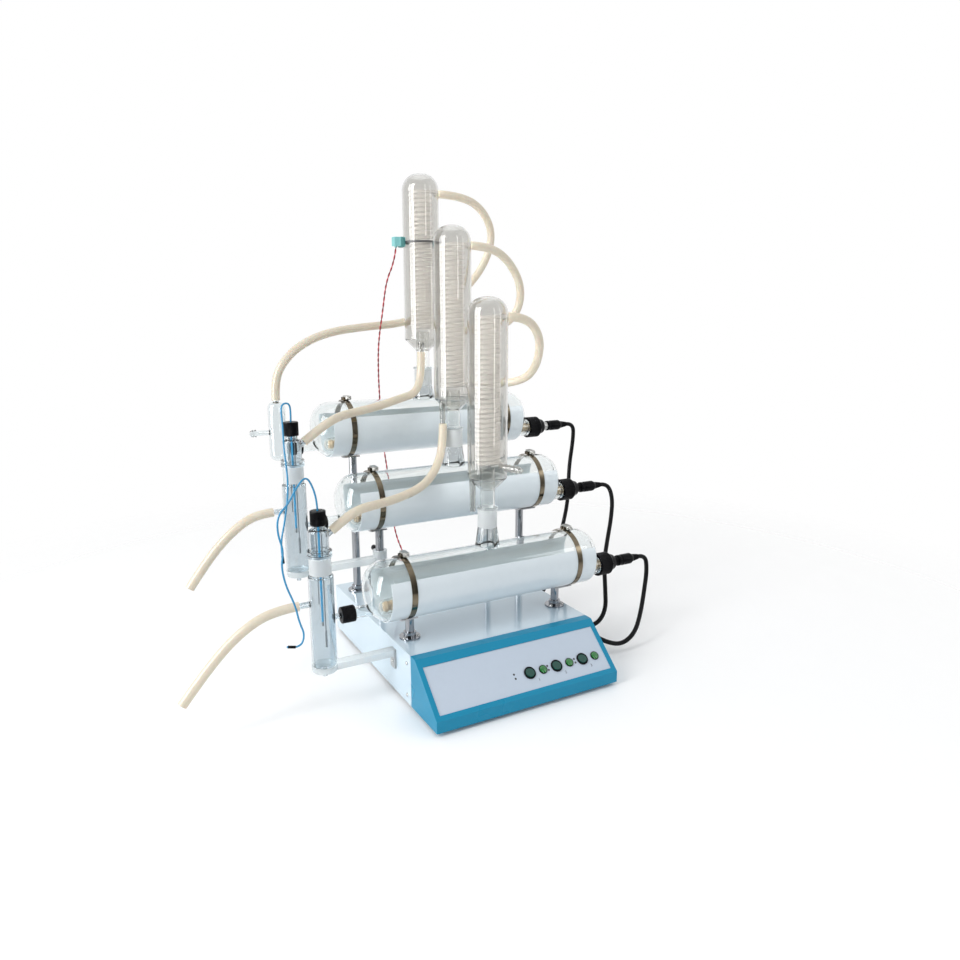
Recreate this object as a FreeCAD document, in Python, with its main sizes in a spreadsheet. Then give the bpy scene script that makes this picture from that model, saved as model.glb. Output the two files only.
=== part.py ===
import FreeCAD, Part
import Sketcher
import math
import os

# Glass water distiller with three stages: a sloping front cabinet carries three level
# glass boilers on chromed posts, each higher and further back than the last. Every boiler
# has its own heater and coil condenser, and hoses join the stages in a row.
# X runs to the right, Y to the back and Z up. The origin is the middle of the footprint.

# Driving dimensions in millimetres, angles in degrees. Each is written once, here.
SIZES = {
    # Cabinet
    "cabinet_width": 280,
    "cabinet_depth": 298,
    "cabinet_height": 72,
    "cabinet_front": 110,
    "steel_wall": 1.5,
    "foot_height": 5,
    "foot_radius": 8,
    "foot_inset": 16,
    "fascia_depth": 77,
    "fascia_wall": 4,
    "lip_height": 16,
    "brow_depth": 14,
    "panel_recess": 2,
    "panel_sheet": 1,
    "panel_side": 7,
    "panel_low": 7,
    "panel_high": 72.5,
    # Switches and lamps, measured up the slope and across
    "control_row": 30,
    "last_switch_inset": 44.5,
    "switch_pitch": 43.1,
    "lamp_shift": 21.3,
    "bezel_radius": 8.4,
    "bezel_rise": 1.6,
    "barrel_radius": 7.6,
    "rocker_radius": 6.7,
    "rocker_thickness": 4.4,
    "rocker_tilt": 12,
    "housing_depth": 16,
    "lamp_radius": 6.2,
    "lamp_rise": 2.6,
    # Rows of boilers
    "front_row": -56,
    "row_pitch": 103,
    "front_height": 151.2,
    "middle_height": 248.9,
    "rear_height": 339,
    # Posts and band clamps
    "left_post": -116.6,
    "right_post": 122.3,
    "post_radius": 6,
    "flange_radius": 14.5,
    "flange_plate": 2.5,
    "collar_radius": 8.5,
    "collar_height": 9,
    "screw_circle": 11.4,
    "screw_head": 2.4,
    "screw_rise": 1.8,
    "side_screw_inset": 12,
    "side_screw_low": 17,
    "side_screw_high": 62,
    "left_clamp": -126,
    "right_clamp": 137.5,
    "band_width": 8,
    "band_sheet": 0.9,
    "band_gap": 0.1,
    "saddle_sheet": 2,
    "saddle_overhang": 7,
    "saddle_lip": 1.5,
    "saddle_half_width": 12,
    "lug_gap": 3,
    "lug_sheet": 2,
    "lug_height": 5,
    "clamp_bolt": 1.5,
    # Boilers
    "boiler_left": -176.5,
    "boiler_right": 182,
    "boiler_radius": 41,
    "boiler_wall": 2.4,
    "dome_round": 27,
    "neck_drop": 23,
    "neck_radius": 8,
    "neck_wall": 1.6,
    "neck_reach": 29.5,
    "heater_neck_radius": 14,
    "heater_neck_reach": 16,
    "joint_x": 5,
    "front_joint": 95,
    "middle_joint": 96,
    "rear_joint": 88,
    "socket_length": 29,
    "socket_radius": 13.6,
    "socket_rim": 15,
    "socket_rim_height": 3,
    "joint_wide": 12,
    "joint_narrow": 10.55,
    "throat_radius": 9.9,
    "flare_radius": 17.5,
    # Reflectors
    "reflector_gap": 0.2,
    "reflector_sheet": 1,
    "reflector_left": -157,
    "reflector_right": 167,
    "reflector_rise": 20.5,
    # Heaters and their plugs
    "sheath_radius": 10,
    "sheath_wall": 1.2,
    "sheath_left": -160,
    "element_radius": 6.5,
    "element_rib": 1.2,
    "element_ribs": 8,
    "socket_head_radius": 14.4,
    "socket_head_end": 221,
    "socket_head_solid": 14.5,
    "ring_start": 199,
    "ring_radius": 17.5,
    "ring_taper": 219,
    "ring_end": 230.6,
    "ring_nose": 11.5,
    "ring_bore": 14.7,
    "ring_hole": 9,
    "grip_count": 8,
    "grip_radius": 2,
    "plug_radius": 8.6,
    "plug_end": 271,
    "boot_radius": 5.6,
    "boot_end": 283,
    "cord_radius": 3.5,
    # Neck screw caps
    "cap_radius": 11,
    "cap_length": 18,
    "cap_wall": 4.5,
    "cap_clearance": 0.3,
    "cap_inset": 18.5,
    "seal_thickness": 2.2,
    "arm_radius": 4,
    "arm_clearance": 0.3,
    # Condensers, measured up from the rim of the ground joint
    "jacket_radius": 27.5,
    "jacket_wall": 2,
    "jacket_round": 24,
    "neck_top": 25,
    "jacket_floor": 42,
    "jacket_top": 285.5,
    "riser_radius": 10.5,
    "riser_top": 54,
    "riser_bore": 8.6,
    "inlet_height": 60,
    "outlet_height": 259,
    "nipple_length": 20,
    "nipple_bore": 2.6,
    "inlet_length": 34,
    "barb_rise": 1.4,
    "barb_pitch": 7,
    "barb_count": 4,
    "arm_circle": 21.5,
    "arm_foot": -5,
    "middle_arm_foot": -11,
    "rear_arm_foot": 6,
    "arm_head": 42,
    "arm_tip": 24,
    "arm_shank": 4.6,
    "front_arm": 169,
    "middle_arm": 198,
    "rear_arm": 238,
    "front_inlet": -73,
    "other_inlet": 0,
    # Cooling coils
    "coil_radius": 15.5,
    "coil_tube": 2.7,
    "coil_bend": 6,
    "coil_loops": 24,
    # Level vessels, measured from the boiler's axis
    "vessel_x": -237,
    "feed_x": -229,
    "vessel_radius": 16,
    "vessel_wall": 1.8,
    "vessel_round": 10,
    "vessel_bottom": -92,
    "vessel_shoulder": 36,
    "vessel_socket": 13.9,
    "vessel_rim": 64,
    "vessel_rim_radius": 15.6,
    "vessel_rim_height": 3,
    "nipple_drop": 9,
    "nipple_radius": 3.2,
    "drain_height": 0,
    "drain_length": 28,
    "drain_bare": 14,
    "head_radius": 12.5,
    "head_top": 97,
    "head_neck_top": 115.5,
    "cone_length": 26,
    "cone_wide": 12,
    "cone_narrow": 10.7,
    "head_flange": 5,
    "head_arm_height": 80,
    "head_arm_slope": 36,
    "head_arm_length": 36,
    "head_arm_bare": 20.5,
    "vessel_cap_radius": 9.9,
    "vessel_cap_top": 120.5,
    "vessel_cap_bottom": 102,
    "lead_radius": 1.2,
    # Feed vessel
    "feed_radius": 12.5,
    "feed_top": 46,
    "feed_bottom": -40,
    "feed_round": 9,
    "feed_barb_height": 2,
    "feed_barb_length": 27,
    # Electrodes, by how far below the boiler's axis they end
    "electrode_radius": 1.4,
    "electrode_end": -32,
    "short_end": -2,
    "long_end": -62,
    "tip_length": 22,
    "electrode_spread": 6,
    # Vessel strips, collar and its knob
    "strip_height": 9,
    "strip_half_width": 7,
    "strip_eye": 16.5,
    "strip_round": 3,
    "strip_lift": -2,
    "strip_tab": 18,
    "tab_sheet": 3,
    "collar_block": 10.5,
    "collar_block_height": 17,
    "collar_lift": 1.1,
    "knob_rise": 14,
    "knob_radius": 4.2,
    "knob_length": 9,
    "knob_stem": 2,
    "knob_stem_length": 12,
    # Hoses, leads and glands
    "hose_radius": 6,
    "hose_bore": 4.05,
    "hose_start": 1.5,
    "bored_depth": 19.5,
    "pushed_on": 18,
    "gland_radius": 7.5,
    "gland_length": 12,
    "gland_nut": 9.5,
    "gland_nut_length": 5,
    "gland_height": 34,
    "front_gland": -75,
    "middle_gland": -30,
    "rear_gland": 60,
    "grommet_x": -36,
    "grommet_y": 134,
    "grommet_radius": 5,
    "grommet_height": 3,
    "twin_lead_radius": 1.5,
    # Thermostat on the rear condenser
    "strap_height": 187,
    "strap_width": 3,
    "strap_sheet": 1,
    "thermostat_length": 17,
    "thermostat_width": 12,
    "thermostat_height": 13,
    "terminal_radius": 2,
    "strap_tail": 11,
    "mains_gland": 130,
    # How far a cutting shape runs past what it cuts
    "overrun": 2,
}

doc = FreeCAD.newDocument("water_distiller")
sheet = doc.addObject("Spreadsheet::Sheet", "Sizes")
for row, (alias, number) in enumerate(SIZES.items(), start=1):
    sheet.set("A%d" % row, alias)
    sheet.set("B%d" % row, str(number))
    sheet.setAlias("B%d" % row, alias)
doc.recompute()


class Size:
    """A length that knows its number and the sheet formula that gives it."""

    def __init__(self, number, formula):
        self.number = number
        self.formula = formula

    def __float__(self):
        return float(self.number)

    def join(self, other, sign, result):
        formula = other.formula if isinstance(other, Size) else repr(other)
        return Size(result, "(%s %s %s)" % (self.formula, sign, formula))

    def __add__(self, other):
        return self.join(other, "+", self.number + float(other))

    def __sub__(self, other):
        return self.join(other, "-", self.number - float(other))

    def __mul__(self, other):
        return self.join(other, "*", self.number * float(other))

    def __truediv__(self, other):
        return self.join(other, "/", self.number / float(other))

    def __neg__(self):
        return Size(-self.number, "(-%s)" % self.formula)


class Sheet:
    """Every size of the sheet as an attribute."""


size = Sheet()
for alias in SIZES:
    setattr(size, alias, Size(float(sheet.get(alias)), "Sizes.%s" % alias))

UPRIGHT = FreeCAD.Rotation()
ALONG_X = FreeCAD.Rotation(FreeCAD.Vector(0, 1, 0), 90)
BACK_X = FreeCAD.Rotation(FreeCAD.Vector(0, 1, 0), -90)
ALONG_Y = FreeCAD.Rotation(FreeCAD.Vector(1, 0, 0), -90)
FACING_FRONT = FreeCAD.Rotation(FreeCAD.Vector(1, 0, 0), 90)
nodes = []
counter = {}


def label(name):
    """A fresh internal name for a helper object."""
    counter[name] = counter.get(name, 0) + 1
    return "%s_%d" % (name, counter[name])


def bind(thing, **sizes):
    for name, value in sizes.items():
        setattr(thing, name, float(value))
        if isinstance(value, Size):
            thing.setExpression(name, value.formula)


def place(thing, at, turn=UPRIGHT):
    """Stands a shape at a point whose coordinates follow the sheet."""
    thing.Placement = FreeCAD.Placement(FreeCAD.Vector(*[float(part) for part in at]), turn)
    for axis, part in zip("xyz", at):
        if isinstance(part, Size):
            thing.setExpression("Placement.Base." + axis, part.formula)
    return thing


def facing(degrees):
    """Turns a shape's Z axis level, towards a bearing from +X."""
    return FreeCAD.Rotation(FreeCAD.Vector(0, 0, 1), float(degrees)) * ALONG_X


def block(length, width, height, at, turn=UPRIGHT):
    thing = doc.addObject("Part::Box", label("block"))
    bind(thing, Length=length, Width=width, Height=height)
    return place(thing, at, turn)


def rod(radius, height, at, turn=UPRIGHT):
    thing = doc.addObject("Part::Cylinder", label("rod"))
    bind(thing, Radius=radius, Height=height)
    return place(thing, at, turn)


def cone(low, high, height, at, turn=UPRIGHT):
    thing = doc.addObject("Part::Cone", label("cone"))
    bind(thing, Radius1=low, Radius2=high, Height=height)
    return place(thing, at, turn)


def fuse(*things):
    whole = doc.addObject("Part::MultiFuse", label("fuse"))
    whole.Shapes = list(things)
    return whole


def cut(base, *tools):
    less = doc.addObject("Part::Cut", label("cut"))
    less.Base = base
    less.Tool = tools[0] if len(tools) == 1 else fuse(*tools)
    return less


def common(first, second):
    both = doc.addObject("Part::Common", label("common"))
    both.Base = first
    both.Tool = second
    return both


def together(*things):
    group = doc.addObject("Part::Compound", label("group"))
    group.Links = list(things)
    return group


def node(name, thing):
    """Names a finished sub-part: its label is its file name."""
    thing.Label = name
    nodes.append(thing)
    return thing


def shaped(name, shape):
    """A sub-part whose shape is worked out in code from the sheet's sizes."""
    thing = doc.addObject("Part::Feature", name)
    thing.Shape = shape
    return node(name, thing)


def outline(body, role, points):
    """A closed sketch through points whose coordinates follow the sheet."""
    sketch = body.newObject("Sketcher::SketchObject", label("outline"))
    plane = [item for item in body.Origin.OriginFeatures if item.Role == role][0]
    sketch.AttachmentSupport = (plane, [""])
    sketch.MapMode = "FlatFace"
    corners = [FreeCAD.Vector(float(first), float(second), 0) for first, second in points]
    for index, corner in enumerate(corners):
        sketch.addGeometry(Part.LineSegment(corner, corners[(index + 1) % len(corners)]), False)
    for index in range(len(corners)):
        following = (index + 1) % len(corners)
        sketch.addConstraint(Sketcher.Constraint("Coincident", index, 2, following, 1))
    for index, coordinates in enumerate(points):
        for kind, axis, value in zip(("DistanceX", "DistanceY"), (-2, -1), coordinates):
            if isinstance(value, Size):
                number = sketch.addConstraint(
                    Sketcher.Constraint(kind, -1, 1, index, 1, float(value)))
                sketch.setExpression("Constraints[%d]" % number, value.formula)
            else:
                sketch.addConstraint(Sketcher.Constraint("PointOnObject", index, 1, axis))
    return sketch


def turned(points, rounds=(), name="turned"):
    """A body of revolution about Z from (radius, height) points.

    rounds lists (radius, height, round) for the rims that are rounded off.
    """
    body = doc.addObject("PartDesign::Body", label(name))
    sketch = outline(body, "XZ_Plane", points)
    spin = body.newObject("PartDesign::Revolution", label("spin"))
    spin.Profile = sketch
    spin.ReferenceAxis = (sketch, ["V_Axis"])
    spin.Angle = 360
    doc.recompute()
    for radius, height, curve in rounds:
        tip = body.Tip
        edges = []
        for index, edge in enumerate(tip.Shape.Edges, start=1):
            ring = isinstance(edge.Curve, Part.Circle)
            if ring and abs(edge.Curve.Radius - float(radius)) < NEAR:
                if abs(edge.Curve.Center.z - float(height)) < NEAR:
                    edges.append("Edge%d" % index)
        soft = body.newObject("PartDesign::Fillet", label("soft"))
        soft.Base = (tip, edges)
        bind(soft, Radius=curve)
        doc.recompute()
    return body


def extruded(points, height, role="YZ_Plane"):
    """A body with a flat outline, drawn out square to its plane."""
    body = doc.addObject("PartDesign::Body", label("extruded"))
    pad = body.newObject("PartDesign::Pad", label("pad"))
    pad.Profile = outline(body, role, points)
    bind(pad, Length=height)
    return body


NEAR = 0.001
FLOOR = 0

TIERS = [
    ("front", size.front_row, size.front_height, size.front_joint,
     size.front_arm, size.front_inlet),
    ("middle", size.front_row + size.row_pitch, size.middle_height, size.middle_joint,
     size.middle_arm, size.other_inlet),
    ("rear", size.front_row + size.row_pitch + size.row_pitch, size.rear_height,
     size.rear_joint, size.rear_arm, size.other_inlet),
]
ROW = {name: row for name, row, level, joint, arm, inlet in TIERS}
LEVEL = {name: level for name, row, level, joint, arm, inlet in TIERS}
JOINT = {name: joint for name, row, level, joint, arm, inlet in TIERS}
cabinet_top = size.foot_height + size.cabinet_height
half_width = size.cabinet_width / 2
slope_rise = size.cabinet_height - size.lip_height
slope_run = size.fascia_depth - size.brow_depth
slope = math.degrees(math.atan2(float(slope_rise), float(slope_run)))
ON_SLOPE = FreeCAD.Rotation(FreeCAD.Vector(1, 0, 0), slope)


def cabinet():
    """Bent sheet-steel cover, open below and in front."""
    shell = block(size.cabinet_width, size.cabinet_depth, size.cabinet_height,
                  (-half_width, -size.cabinet_front, size.foot_height))
    hollow = block(size.cabinet_width - size.steel_wall * 2, size.cabinet_depth - size.steel_wall
                   + size.overrun, size.cabinet_height - size.steel_wall + size.overrun,
                   (-half_width + size.steel_wall, -size.cabinet_front - size.overrun,
                    size.foot_height - size.overrun))
    holes = [rod(size.cord_radius + size.cap_clearance, size.steel_wall + size.overrun * 2,
                 (half_width - size.steel_wall - size.overrun, gland_y, size.gland_height), ALONG_X)
             for gland_y in gland_places()]
    grommet = rod(size.twin_lead_radius + size.cap_clearance, size.steel_wall + size.overrun * 2,
                  (size.grommet_x, size.grommet_y, cabinet_top - size.steel_wall - size.overrun))
    node("cabinet_shell", cut(shell, hollow, grommet, *holes))
    base = block(size.cabinet_width - size.steel_wall * 2, size.cabinet_depth - size.steel_wall,
                 size.steel_wall, (-half_width + size.steel_wall, -size.cabinet_front,
                                   size.foot_height))
    node("base_plate", base)


def fascia():
    """Moulded sloping front, hollow behind, with a recess for the printed panel."""
    wall = size.fascia_wall
    front = extruded([(FLOOR, FLOOR), (FLOOR, size.cabinet_height),
                      (-size.brow_depth, size.cabinet_height),
                      (-size.fascia_depth, size.lip_height), (-size.fascia_depth, FLOOR)],
                     size.cabinet_width)
    place(front, (-half_width, -size.cabinet_front, size.foot_height))
    hollow = extruded([(wall, wall), (wall, size.cabinet_height - wall),
                       (-size.brow_depth, size.cabinet_height - wall - wall / 2),
                       (-size.fascia_depth + wall, size.lip_height - wall / 2),
                       (-size.fascia_depth + wall, wall)], size.cabinet_width - wall * 2)
    place(hollow, (-half_width + wall, -size.cabinet_front, size.foot_height))
    base = (-half_width, -size.cabinet_front - size.fascia_depth,
            size.foot_height + size.lip_height)
    recess = on_slope(block, size.cabinet_width - size.panel_side * 2,
                      size.panel_high - size.panel_low, size.panel_recess + size.overrun,
                      at=(-half_width + size.panel_side, size.panel_low, -size.panel_recess))
    holes = [on_slope(rod, size.barrel_radius + size.cap_clearance,
                      size.fascia_wall * 2 + size.overrun,
                      at=(x, size.control_row, -size.fascia_wall * 2)) for x in switch_places()]
    lamps = [on_slope(rod, size.lamp_radius - size.fascia_wall / 2, size.fascia_wall * 2
                      + size.overrun, at=(x + size.lamp_shift, size.control_row,
                                          -size.fascia_wall * 2)) for x in switch_places()]
    node("fascia", cut(front, hollow, recess, *holes, *lamps))
    sheet_plate = on_slope(block, size.cabinet_width - size.panel_side * 2,
                           size.panel_high - size.panel_low, size.panel_sheet,
                           at=(-half_width + size.panel_side, size.panel_low,
                               -size.panel_recess))
    panel_holes = [on_slope(rod, size.barrel_radius + size.cap_clearance, size.panel_recess
                            + size.overrun, at=(x, size.control_row, -size.panel_recess
                                                - size.overrun / 2)) for x in switch_places()]
    panel_lamps = [on_slope(rod, size.lamp_radius - size.fascia_wall / 2, size.panel_recess
                            + size.overrun, at=(x + size.lamp_shift, size.control_row,
                                                -size.panel_recess - size.overrun / 2))
                   for x in switch_places()]
    node("control_panel", cut(sheet_plate, *panel_holes, *panel_lamps))
    return base


def switch_places():
    """Where the three switches stand across the panel, counted back from its right side."""
    last = size.cabinet_width / 2 - size.last_switch_inset
    return [last - size.switch_pitch * 2, last - size.switch_pitch, last]


def slope_point(across, up, out):
    """A point given on the sloping face, as a place in the whole."""
    angle = math.radians(slope)
    y = float(up) * math.cos(angle) - float(out) * math.sin(angle)
    z = float(up) * math.sin(angle) + float(out) * math.cos(angle)
    start_y = -float(size.cabinet_front) - float(size.fascia_depth)
    start_z = float(size.foot_height) + float(size.lip_height)
    return (float(across), start_y + y, start_z + z)


def on_slope(make, *sizes, at):
    """Makes a primitive whose own axes lie along the sloping face."""
    return make(*sizes, slope_point(*at), ON_SLOPE)


def controls():
    """Round rocker switches, each in a fixed housing, with an indicator lamp beside it."""
    housings = []
    lamps = []
    seat = -size.panel_recess + size.panel_sheet
    for index, x in enumerate(switch_places(), start=1):
        bezel = on_slope(rod, size.bezel_radius, size.bezel_rise, at=(x, size.control_row, seat))
        barrel = on_slope(rod, size.barrel_radius, size.housing_depth,
                          at=(x, size.control_row, seat - size.housing_depth))
        well = on_slope(rod, size.rocker_radius + size.cap_clearance, size.housing_depth,
                        at=(x, size.control_row, seat - size.housing_depth / 2))
        housings.append(cut(fuse(bezel, barrel), well))
        rocker(index, x, seat)
        stem = on_slope(rod, size.lamp_radius - size.fascia_wall / 2 - size.cap_clearance,
                        size.housing_depth, at=(x + size.lamp_shift, size.control_row,
                                                seat - size.housing_depth))
        lens = turned([(FLOOR, FLOOR), (size.lamp_radius, FLOOR),
                       (size.lamp_radius, size.lamp_rise), (FLOOR, size.lamp_rise)],
                      [(size.lamp_radius, size.lamp_rise, size.lamp_rise / 2)])
        place(lens, slope_point(x + size.lamp_shift, size.control_row, seat), ON_SLOPE)
        lamps.append(fuse(stem, lens))
    node("switch_housings", together(*housings))
    node("indicator_lamps", together(*lamps))


def rocker(index, x, seat):
    """A thick disc with a ball-shaped rim, resting tilted on its level axle."""
    middle = slope_point(x, size.control_row, seat)
    tilt = ON_SLOPE * FreeCAD.Rotation(FreeCAD.Vector(1, 0, 0), -float(size.rocker_tilt))
    ball = doc.addObject("Part::Sphere", label("ball"))
    bind(ball, Radius=size.rocker_radius)
    place(ball, middle)
    drop = tilt.multVec(FreeCAD.Vector(0, 0, float(size.rocker_thickness) / 2))
    low = [part - step for part, step in zip(middle, drop)]
    slab = rod(size.rocker_radius * 2, size.rocker_thickness, low, tilt)
    node("rocker_%d" % index, common(ball, slab))


def feet():
    reach = half_width - size.foot_inset
    front = -size.cabinet_front - size.fascia_depth / 2
    back = size.cabinet_depth - size.cabinet_front - size.foot_inset
    node("rubber_feet", together(*[
        cone(size.foot_radius - size.steel_wall, size.foot_radius, size.foot_height, (x, y, FLOOR))
        for x in (-reach, reach) for y in (front, back)]))


def post_places():
    return [(x, name) for name in ROW for x in (size.left_post, size.right_post)]


def posts():
    """Chromed tubes in round flanges, each topped by a cradle under its boiler."""
    tubes = []
    flanges = []
    screws = []
    skin = (size.boiler_radius + size.reflector_gap + size.reflector_sheet + size.band_gap
            + size.band_sheet)
    for x, name in post_places():
        row = ROW[name]
        level = LEVEL[name]
        low_end = cabinet_top + size.flange_plate
        post = rod(size.post_radius, level - skin - size.saddle_sheet / 2 - low_end,
                   (x, row, low_end))
        clamp = size.left_clamp if x is size.left_post else size.right_clamp
        reach = size.post_radius + size.saddle_lip
        first = clamp - size.saddle_overhang if x is size.left_post else x - reach
        last = x + reach if x is size.left_post else clamp + size.saddle_overhang
        ring = cut(rod(skin + size.saddle_sheet, last - first, (first, row, level), ALONG_X),
                   rod(skin, last - first + size.overrun * 2,
                       (first - size.overrun, row, level), ALONG_X))
        keep = block(last - first, size.saddle_half_width * 2, skin,
                     (first, row - size.saddle_half_width, level - skin - size.overrun * 2))
        tubes.append(fuse(post, common(ring, keep)))
        plate = rod(size.flange_radius, size.flange_plate, (x, row, cabinet_top))
        collar = cut(rod(size.collar_radius, size.collar_height, (x, row, cabinet_top)),
                     rod(size.post_radius, size.collar_height, (x, row, low_end)))
        flanges.append(fuse(plate, collar))
        for third in range(3):
            angle = math.radians(90 + third * 120)
            away = float(size.screw_circle)
            spot = (float(x) + away * math.cos(angle), float(row) + away * math.sin(angle))
            screws.append(screw(spot[0], spot[1], float(cabinet_top + size.flange_plate)))
    side = -size.cabinet_front + size.side_screw_inset
    tab = LEVEL["front"] + size.vessel_bottom + size.strip_lift - size.strip_tab / 2
    screws.append(rod(size.screw_head, size.screw_rise,
                      (-half_width - size.tab_sheet, ROW["front"], tab), BACK_X))
    for height in (size.side_screw_low, size.side_screw_high):
        screws.append(rod(size.screw_head, size.screw_rise, (-half_width, side, height), BACK_X))
        screws.append(rod(size.screw_head, size.screw_rise, (half_width, side, height), ALONG_X))
    node("support_posts", together(*tubes))
    node("post_flanges", together(*flanges))
    node("panhead_screws", together(*screws))


def screw(x, y, z):
    """A pan head standing on its seat."""
    return rod(size.screw_head, size.screw_rise, (x, y, z))


def clamps():
    """Two sprung steel bands round each boiler, drawn together by a bolt on top."""
    inner = size.boiler_radius + size.reflector_gap + size.reflector_sheet + size.band_gap
    outer = inner + size.band_sheet
    bands = []
    for name in ROW:
        for x in (size.left_clamp, size.right_clamp):
            start = x - size.band_width / 2
            ring = rod(outer, size.band_width, (start, ROW[name], LEVEL[name]), ALONG_X)
            hole = rod(inner, size.band_width + size.overrun * 2,
                       (start - size.overrun, ROW[name], LEVEL[name]), ALONG_X)
            ears = block(size.band_width, size.lug_gap + size.lug_sheet * 2, size.lug_height,
                         (start, ROW[name] - size.lug_gap / 2 - size.lug_sheet,
                          LEVEL[name] + inner))
            slit = block(size.band_width + size.overrun * 2, size.lug_gap, size.lug_height * 2,
                         (start - size.overrun, ROW[name] - size.lug_gap / 2,
                          LEVEL[name] + inner - size.overrun))
            bolt = rod(size.clamp_bolt, size.lug_gap + size.lug_sheet * 4,
                       (x, ROW[name] - size.lug_gap / 2 - size.lug_sheet * 2,
                        LEVEL[name] + outer + size.lug_height / 2), ALONG_Y)
            bands.append(fuse(cut(fuse(ring, ears), hole, slit), bolt))
    node("band_clamps", together(*bands))


def boiler(name):
    """A level glass drum with domed ends, two low necks and a ground socket on top."""
    row, level, joint = ROW[name], LEVEL[name], JOINT[name]
    length = size.boiler_right - size.boiler_left
    wall = size.boiler_wall
    drum = turned([(FLOOR, FLOOR), (size.boiler_radius, FLOOR), (size.boiler_radius, length),
                   (FLOOR, length)], [(size.boiler_radius, FLOOR, size.dome_round),
                                      (size.boiler_radius, length, size.dome_round)])
    place(drum, (size.boiler_left, row, level), ALONG_X)
    inner = size.boiler_radius - wall
    inside_length = length - wall * 2
    inside = turned([(FLOOR, FLOOR), (inner, FLOOR), (inner, inside_length),
                     (FLOOR, inside_length)], [(inner, FLOOR, size.dome_round - wall),
                                               (inner, inside_length, size.dome_round - wall)])
    place(inside, (size.boiler_left + wall, row, level), ALONG_X)
    low = level - size.neck_drop
    neck_start = size.boiler_left - size.neck_reach
    neck = rod(size.neck_radius, size.neck_reach + size.dome_round, (neck_start, row, low), ALONG_X)
    neck_bore = rod(size.neck_radius - size.neck_wall, size.neck_reach + size.dome_round
                    + size.overrun, (neck_start - size.overrun, row, low), ALONG_X)
    heater_neck = rod(size.heater_neck_radius, size.dome_round + size.heater_neck_reach,
                      (size.boiler_right - size.dome_round, row, low), ALONG_X)
    heater_bore = rod(size.sheath_radius, size.dome_round * 2,
                      (size.boiler_right - size.dome_round, row, low), ALONG_X)
    shoulder = joint - size.socket_length
    flare = cone(size.flare_radius, size.socket_radius, shoulder - size.boiler_radius + wall,
                 (size.joint_x, row, level + size.boiler_radius - wall))
    socket = rod(size.socket_radius, size.socket_length,
                 (size.joint_x, row, level + shoulder))
    rim = rod(size.socket_rim, size.socket_rim_height,
              (size.joint_x, row, level + joint - size.socket_rim_height))
    throat = rod(size.throat_radius, joint, (size.joint_x, row, level))
    ground = cone(size.joint_narrow, size.joint_wide, size.socket_length,
                  (size.joint_x, row, level + shoulder))
    glass = fuse(drum, neck, heater_neck, flare, socket, rim)
    node("boiler_" + name, cut(glass, inside, neck_bore, heater_bore, throat, ground))


def reflector(name):
    """A white sheet bent round the lower part of its boiler."""
    row, level = ROW[name], LEVEL[name]
    inner = size.boiler_radius + size.reflector_gap
    outer = inner + size.reflector_sheet
    length = size.reflector_right - size.reflector_left
    tube = rod(outer, length, (size.reflector_left, row, level), ALONG_X)
    bore = rod(inner, length + size.overrun * 2, (size.reflector_left - size.overrun, row, level),
               ALONG_X)
    above = block(length + size.overrun * 2, outer * 2 + size.overrun * 2, outer,
                  (size.reflector_left - size.overrun, row - outer - size.overrun,
                   level + size.reflector_rise))
    return cut(tube, bore, above)


def heaters():
    """Quartz sheaths with ribbed ceramic inserts that end in a socket head."""
    sheaths = []
    inserts = []
    for name in ROW:
        row = ROW[name]
        low = LEVEL[name] - size.neck_drop
        seat = size.socket_head_end - size.socket_head_solid
        length = seat - size.sheath_left
        sheath = turned([(FLOOR, FLOOR), (size.sheath_radius, FLOOR),
                         (size.sheath_radius, length), (FLOOR, length)],
                        [(size.sheath_radius, FLOOR, size.sheath_radius - size.sheath_wall)])
        place(sheath, (size.sheath_left, row, low), ALONG_X)
        inside = size.sheath_radius - size.sheath_wall
        hollow = turned([(FLOOR, FLOOR), (inside, FLOOR), (inside, length), (FLOOR, length)],
                        [(inside, FLOOR, inside - size.sheath_wall)])
        place(hollow, (size.sheath_left + size.sheath_wall, row, low), ALONG_X)
        sheaths.append(cut(sheath, hollow))
        start = size.sheath_left + size.sheath_wall * 4
        core_length = seat + size.overrun - start
        core = rod(size.element_radius, core_length, (start, row, low), ALONG_X)
        ribs = [rod(size.element_radius + size.element_rib, size.element_rib * 2,
                    (start + core_length * (index + 1) / (float(size.element_ribs) + 2), row, low),
                    ALONG_X) for index in range(int(float(size.element_ribs)))]
        head_start = size.ring_start - size.cap_clearance
        head = rod(size.socket_head_radius, size.socket_head_end - head_start,
                   (head_start, row, low), ALONG_X)
        bore = rod(size.sheath_radius, seat - head_start, (head_start, row, low), ALONG_X)
        inserts.append(fuse(cut(head, bore), core, *ribs))
    node("heater_sheaths", together(*sheaths))
    node("heater_inserts", together(*inserts))


def coupling_ring(name):
    """A gripped nut that draws the plug against the heater's socket head."""
    row = ROW[name]
    low = LEVEL[name] - size.neck_drop
    full = size.ring_end - size.ring_start
    straight = size.ring_taper - size.ring_start
    depth = size.socket_head_end - size.ring_start + size.cap_clearance
    body = turned([(size.ring_bore, FLOOR), (size.ring_radius, FLOOR),
                   (size.ring_radius, straight), (size.ring_nose, full), (size.ring_hole, full),
                   (size.ring_hole, depth), (size.ring_bore, depth)])
    place(body, (size.ring_start, row, low), ALONG_X)
    grips = []
    for index in range(int(float(size.grip_count))):
        angle = 2 * math.pi * index / float(size.grip_count)
        reach = float(size.ring_radius) + float(size.grip_radius) / 2
        grips.append(rod(size.grip_radius, straight - size.overrun * 2,
                         (size.ring_start + size.overrun,
                          float(row) + reach * math.cos(angle),
                          float(low) + reach * math.sin(angle)), ALONG_X))
    node("coupling_ring_" + name, cut(body, *grips))


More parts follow.
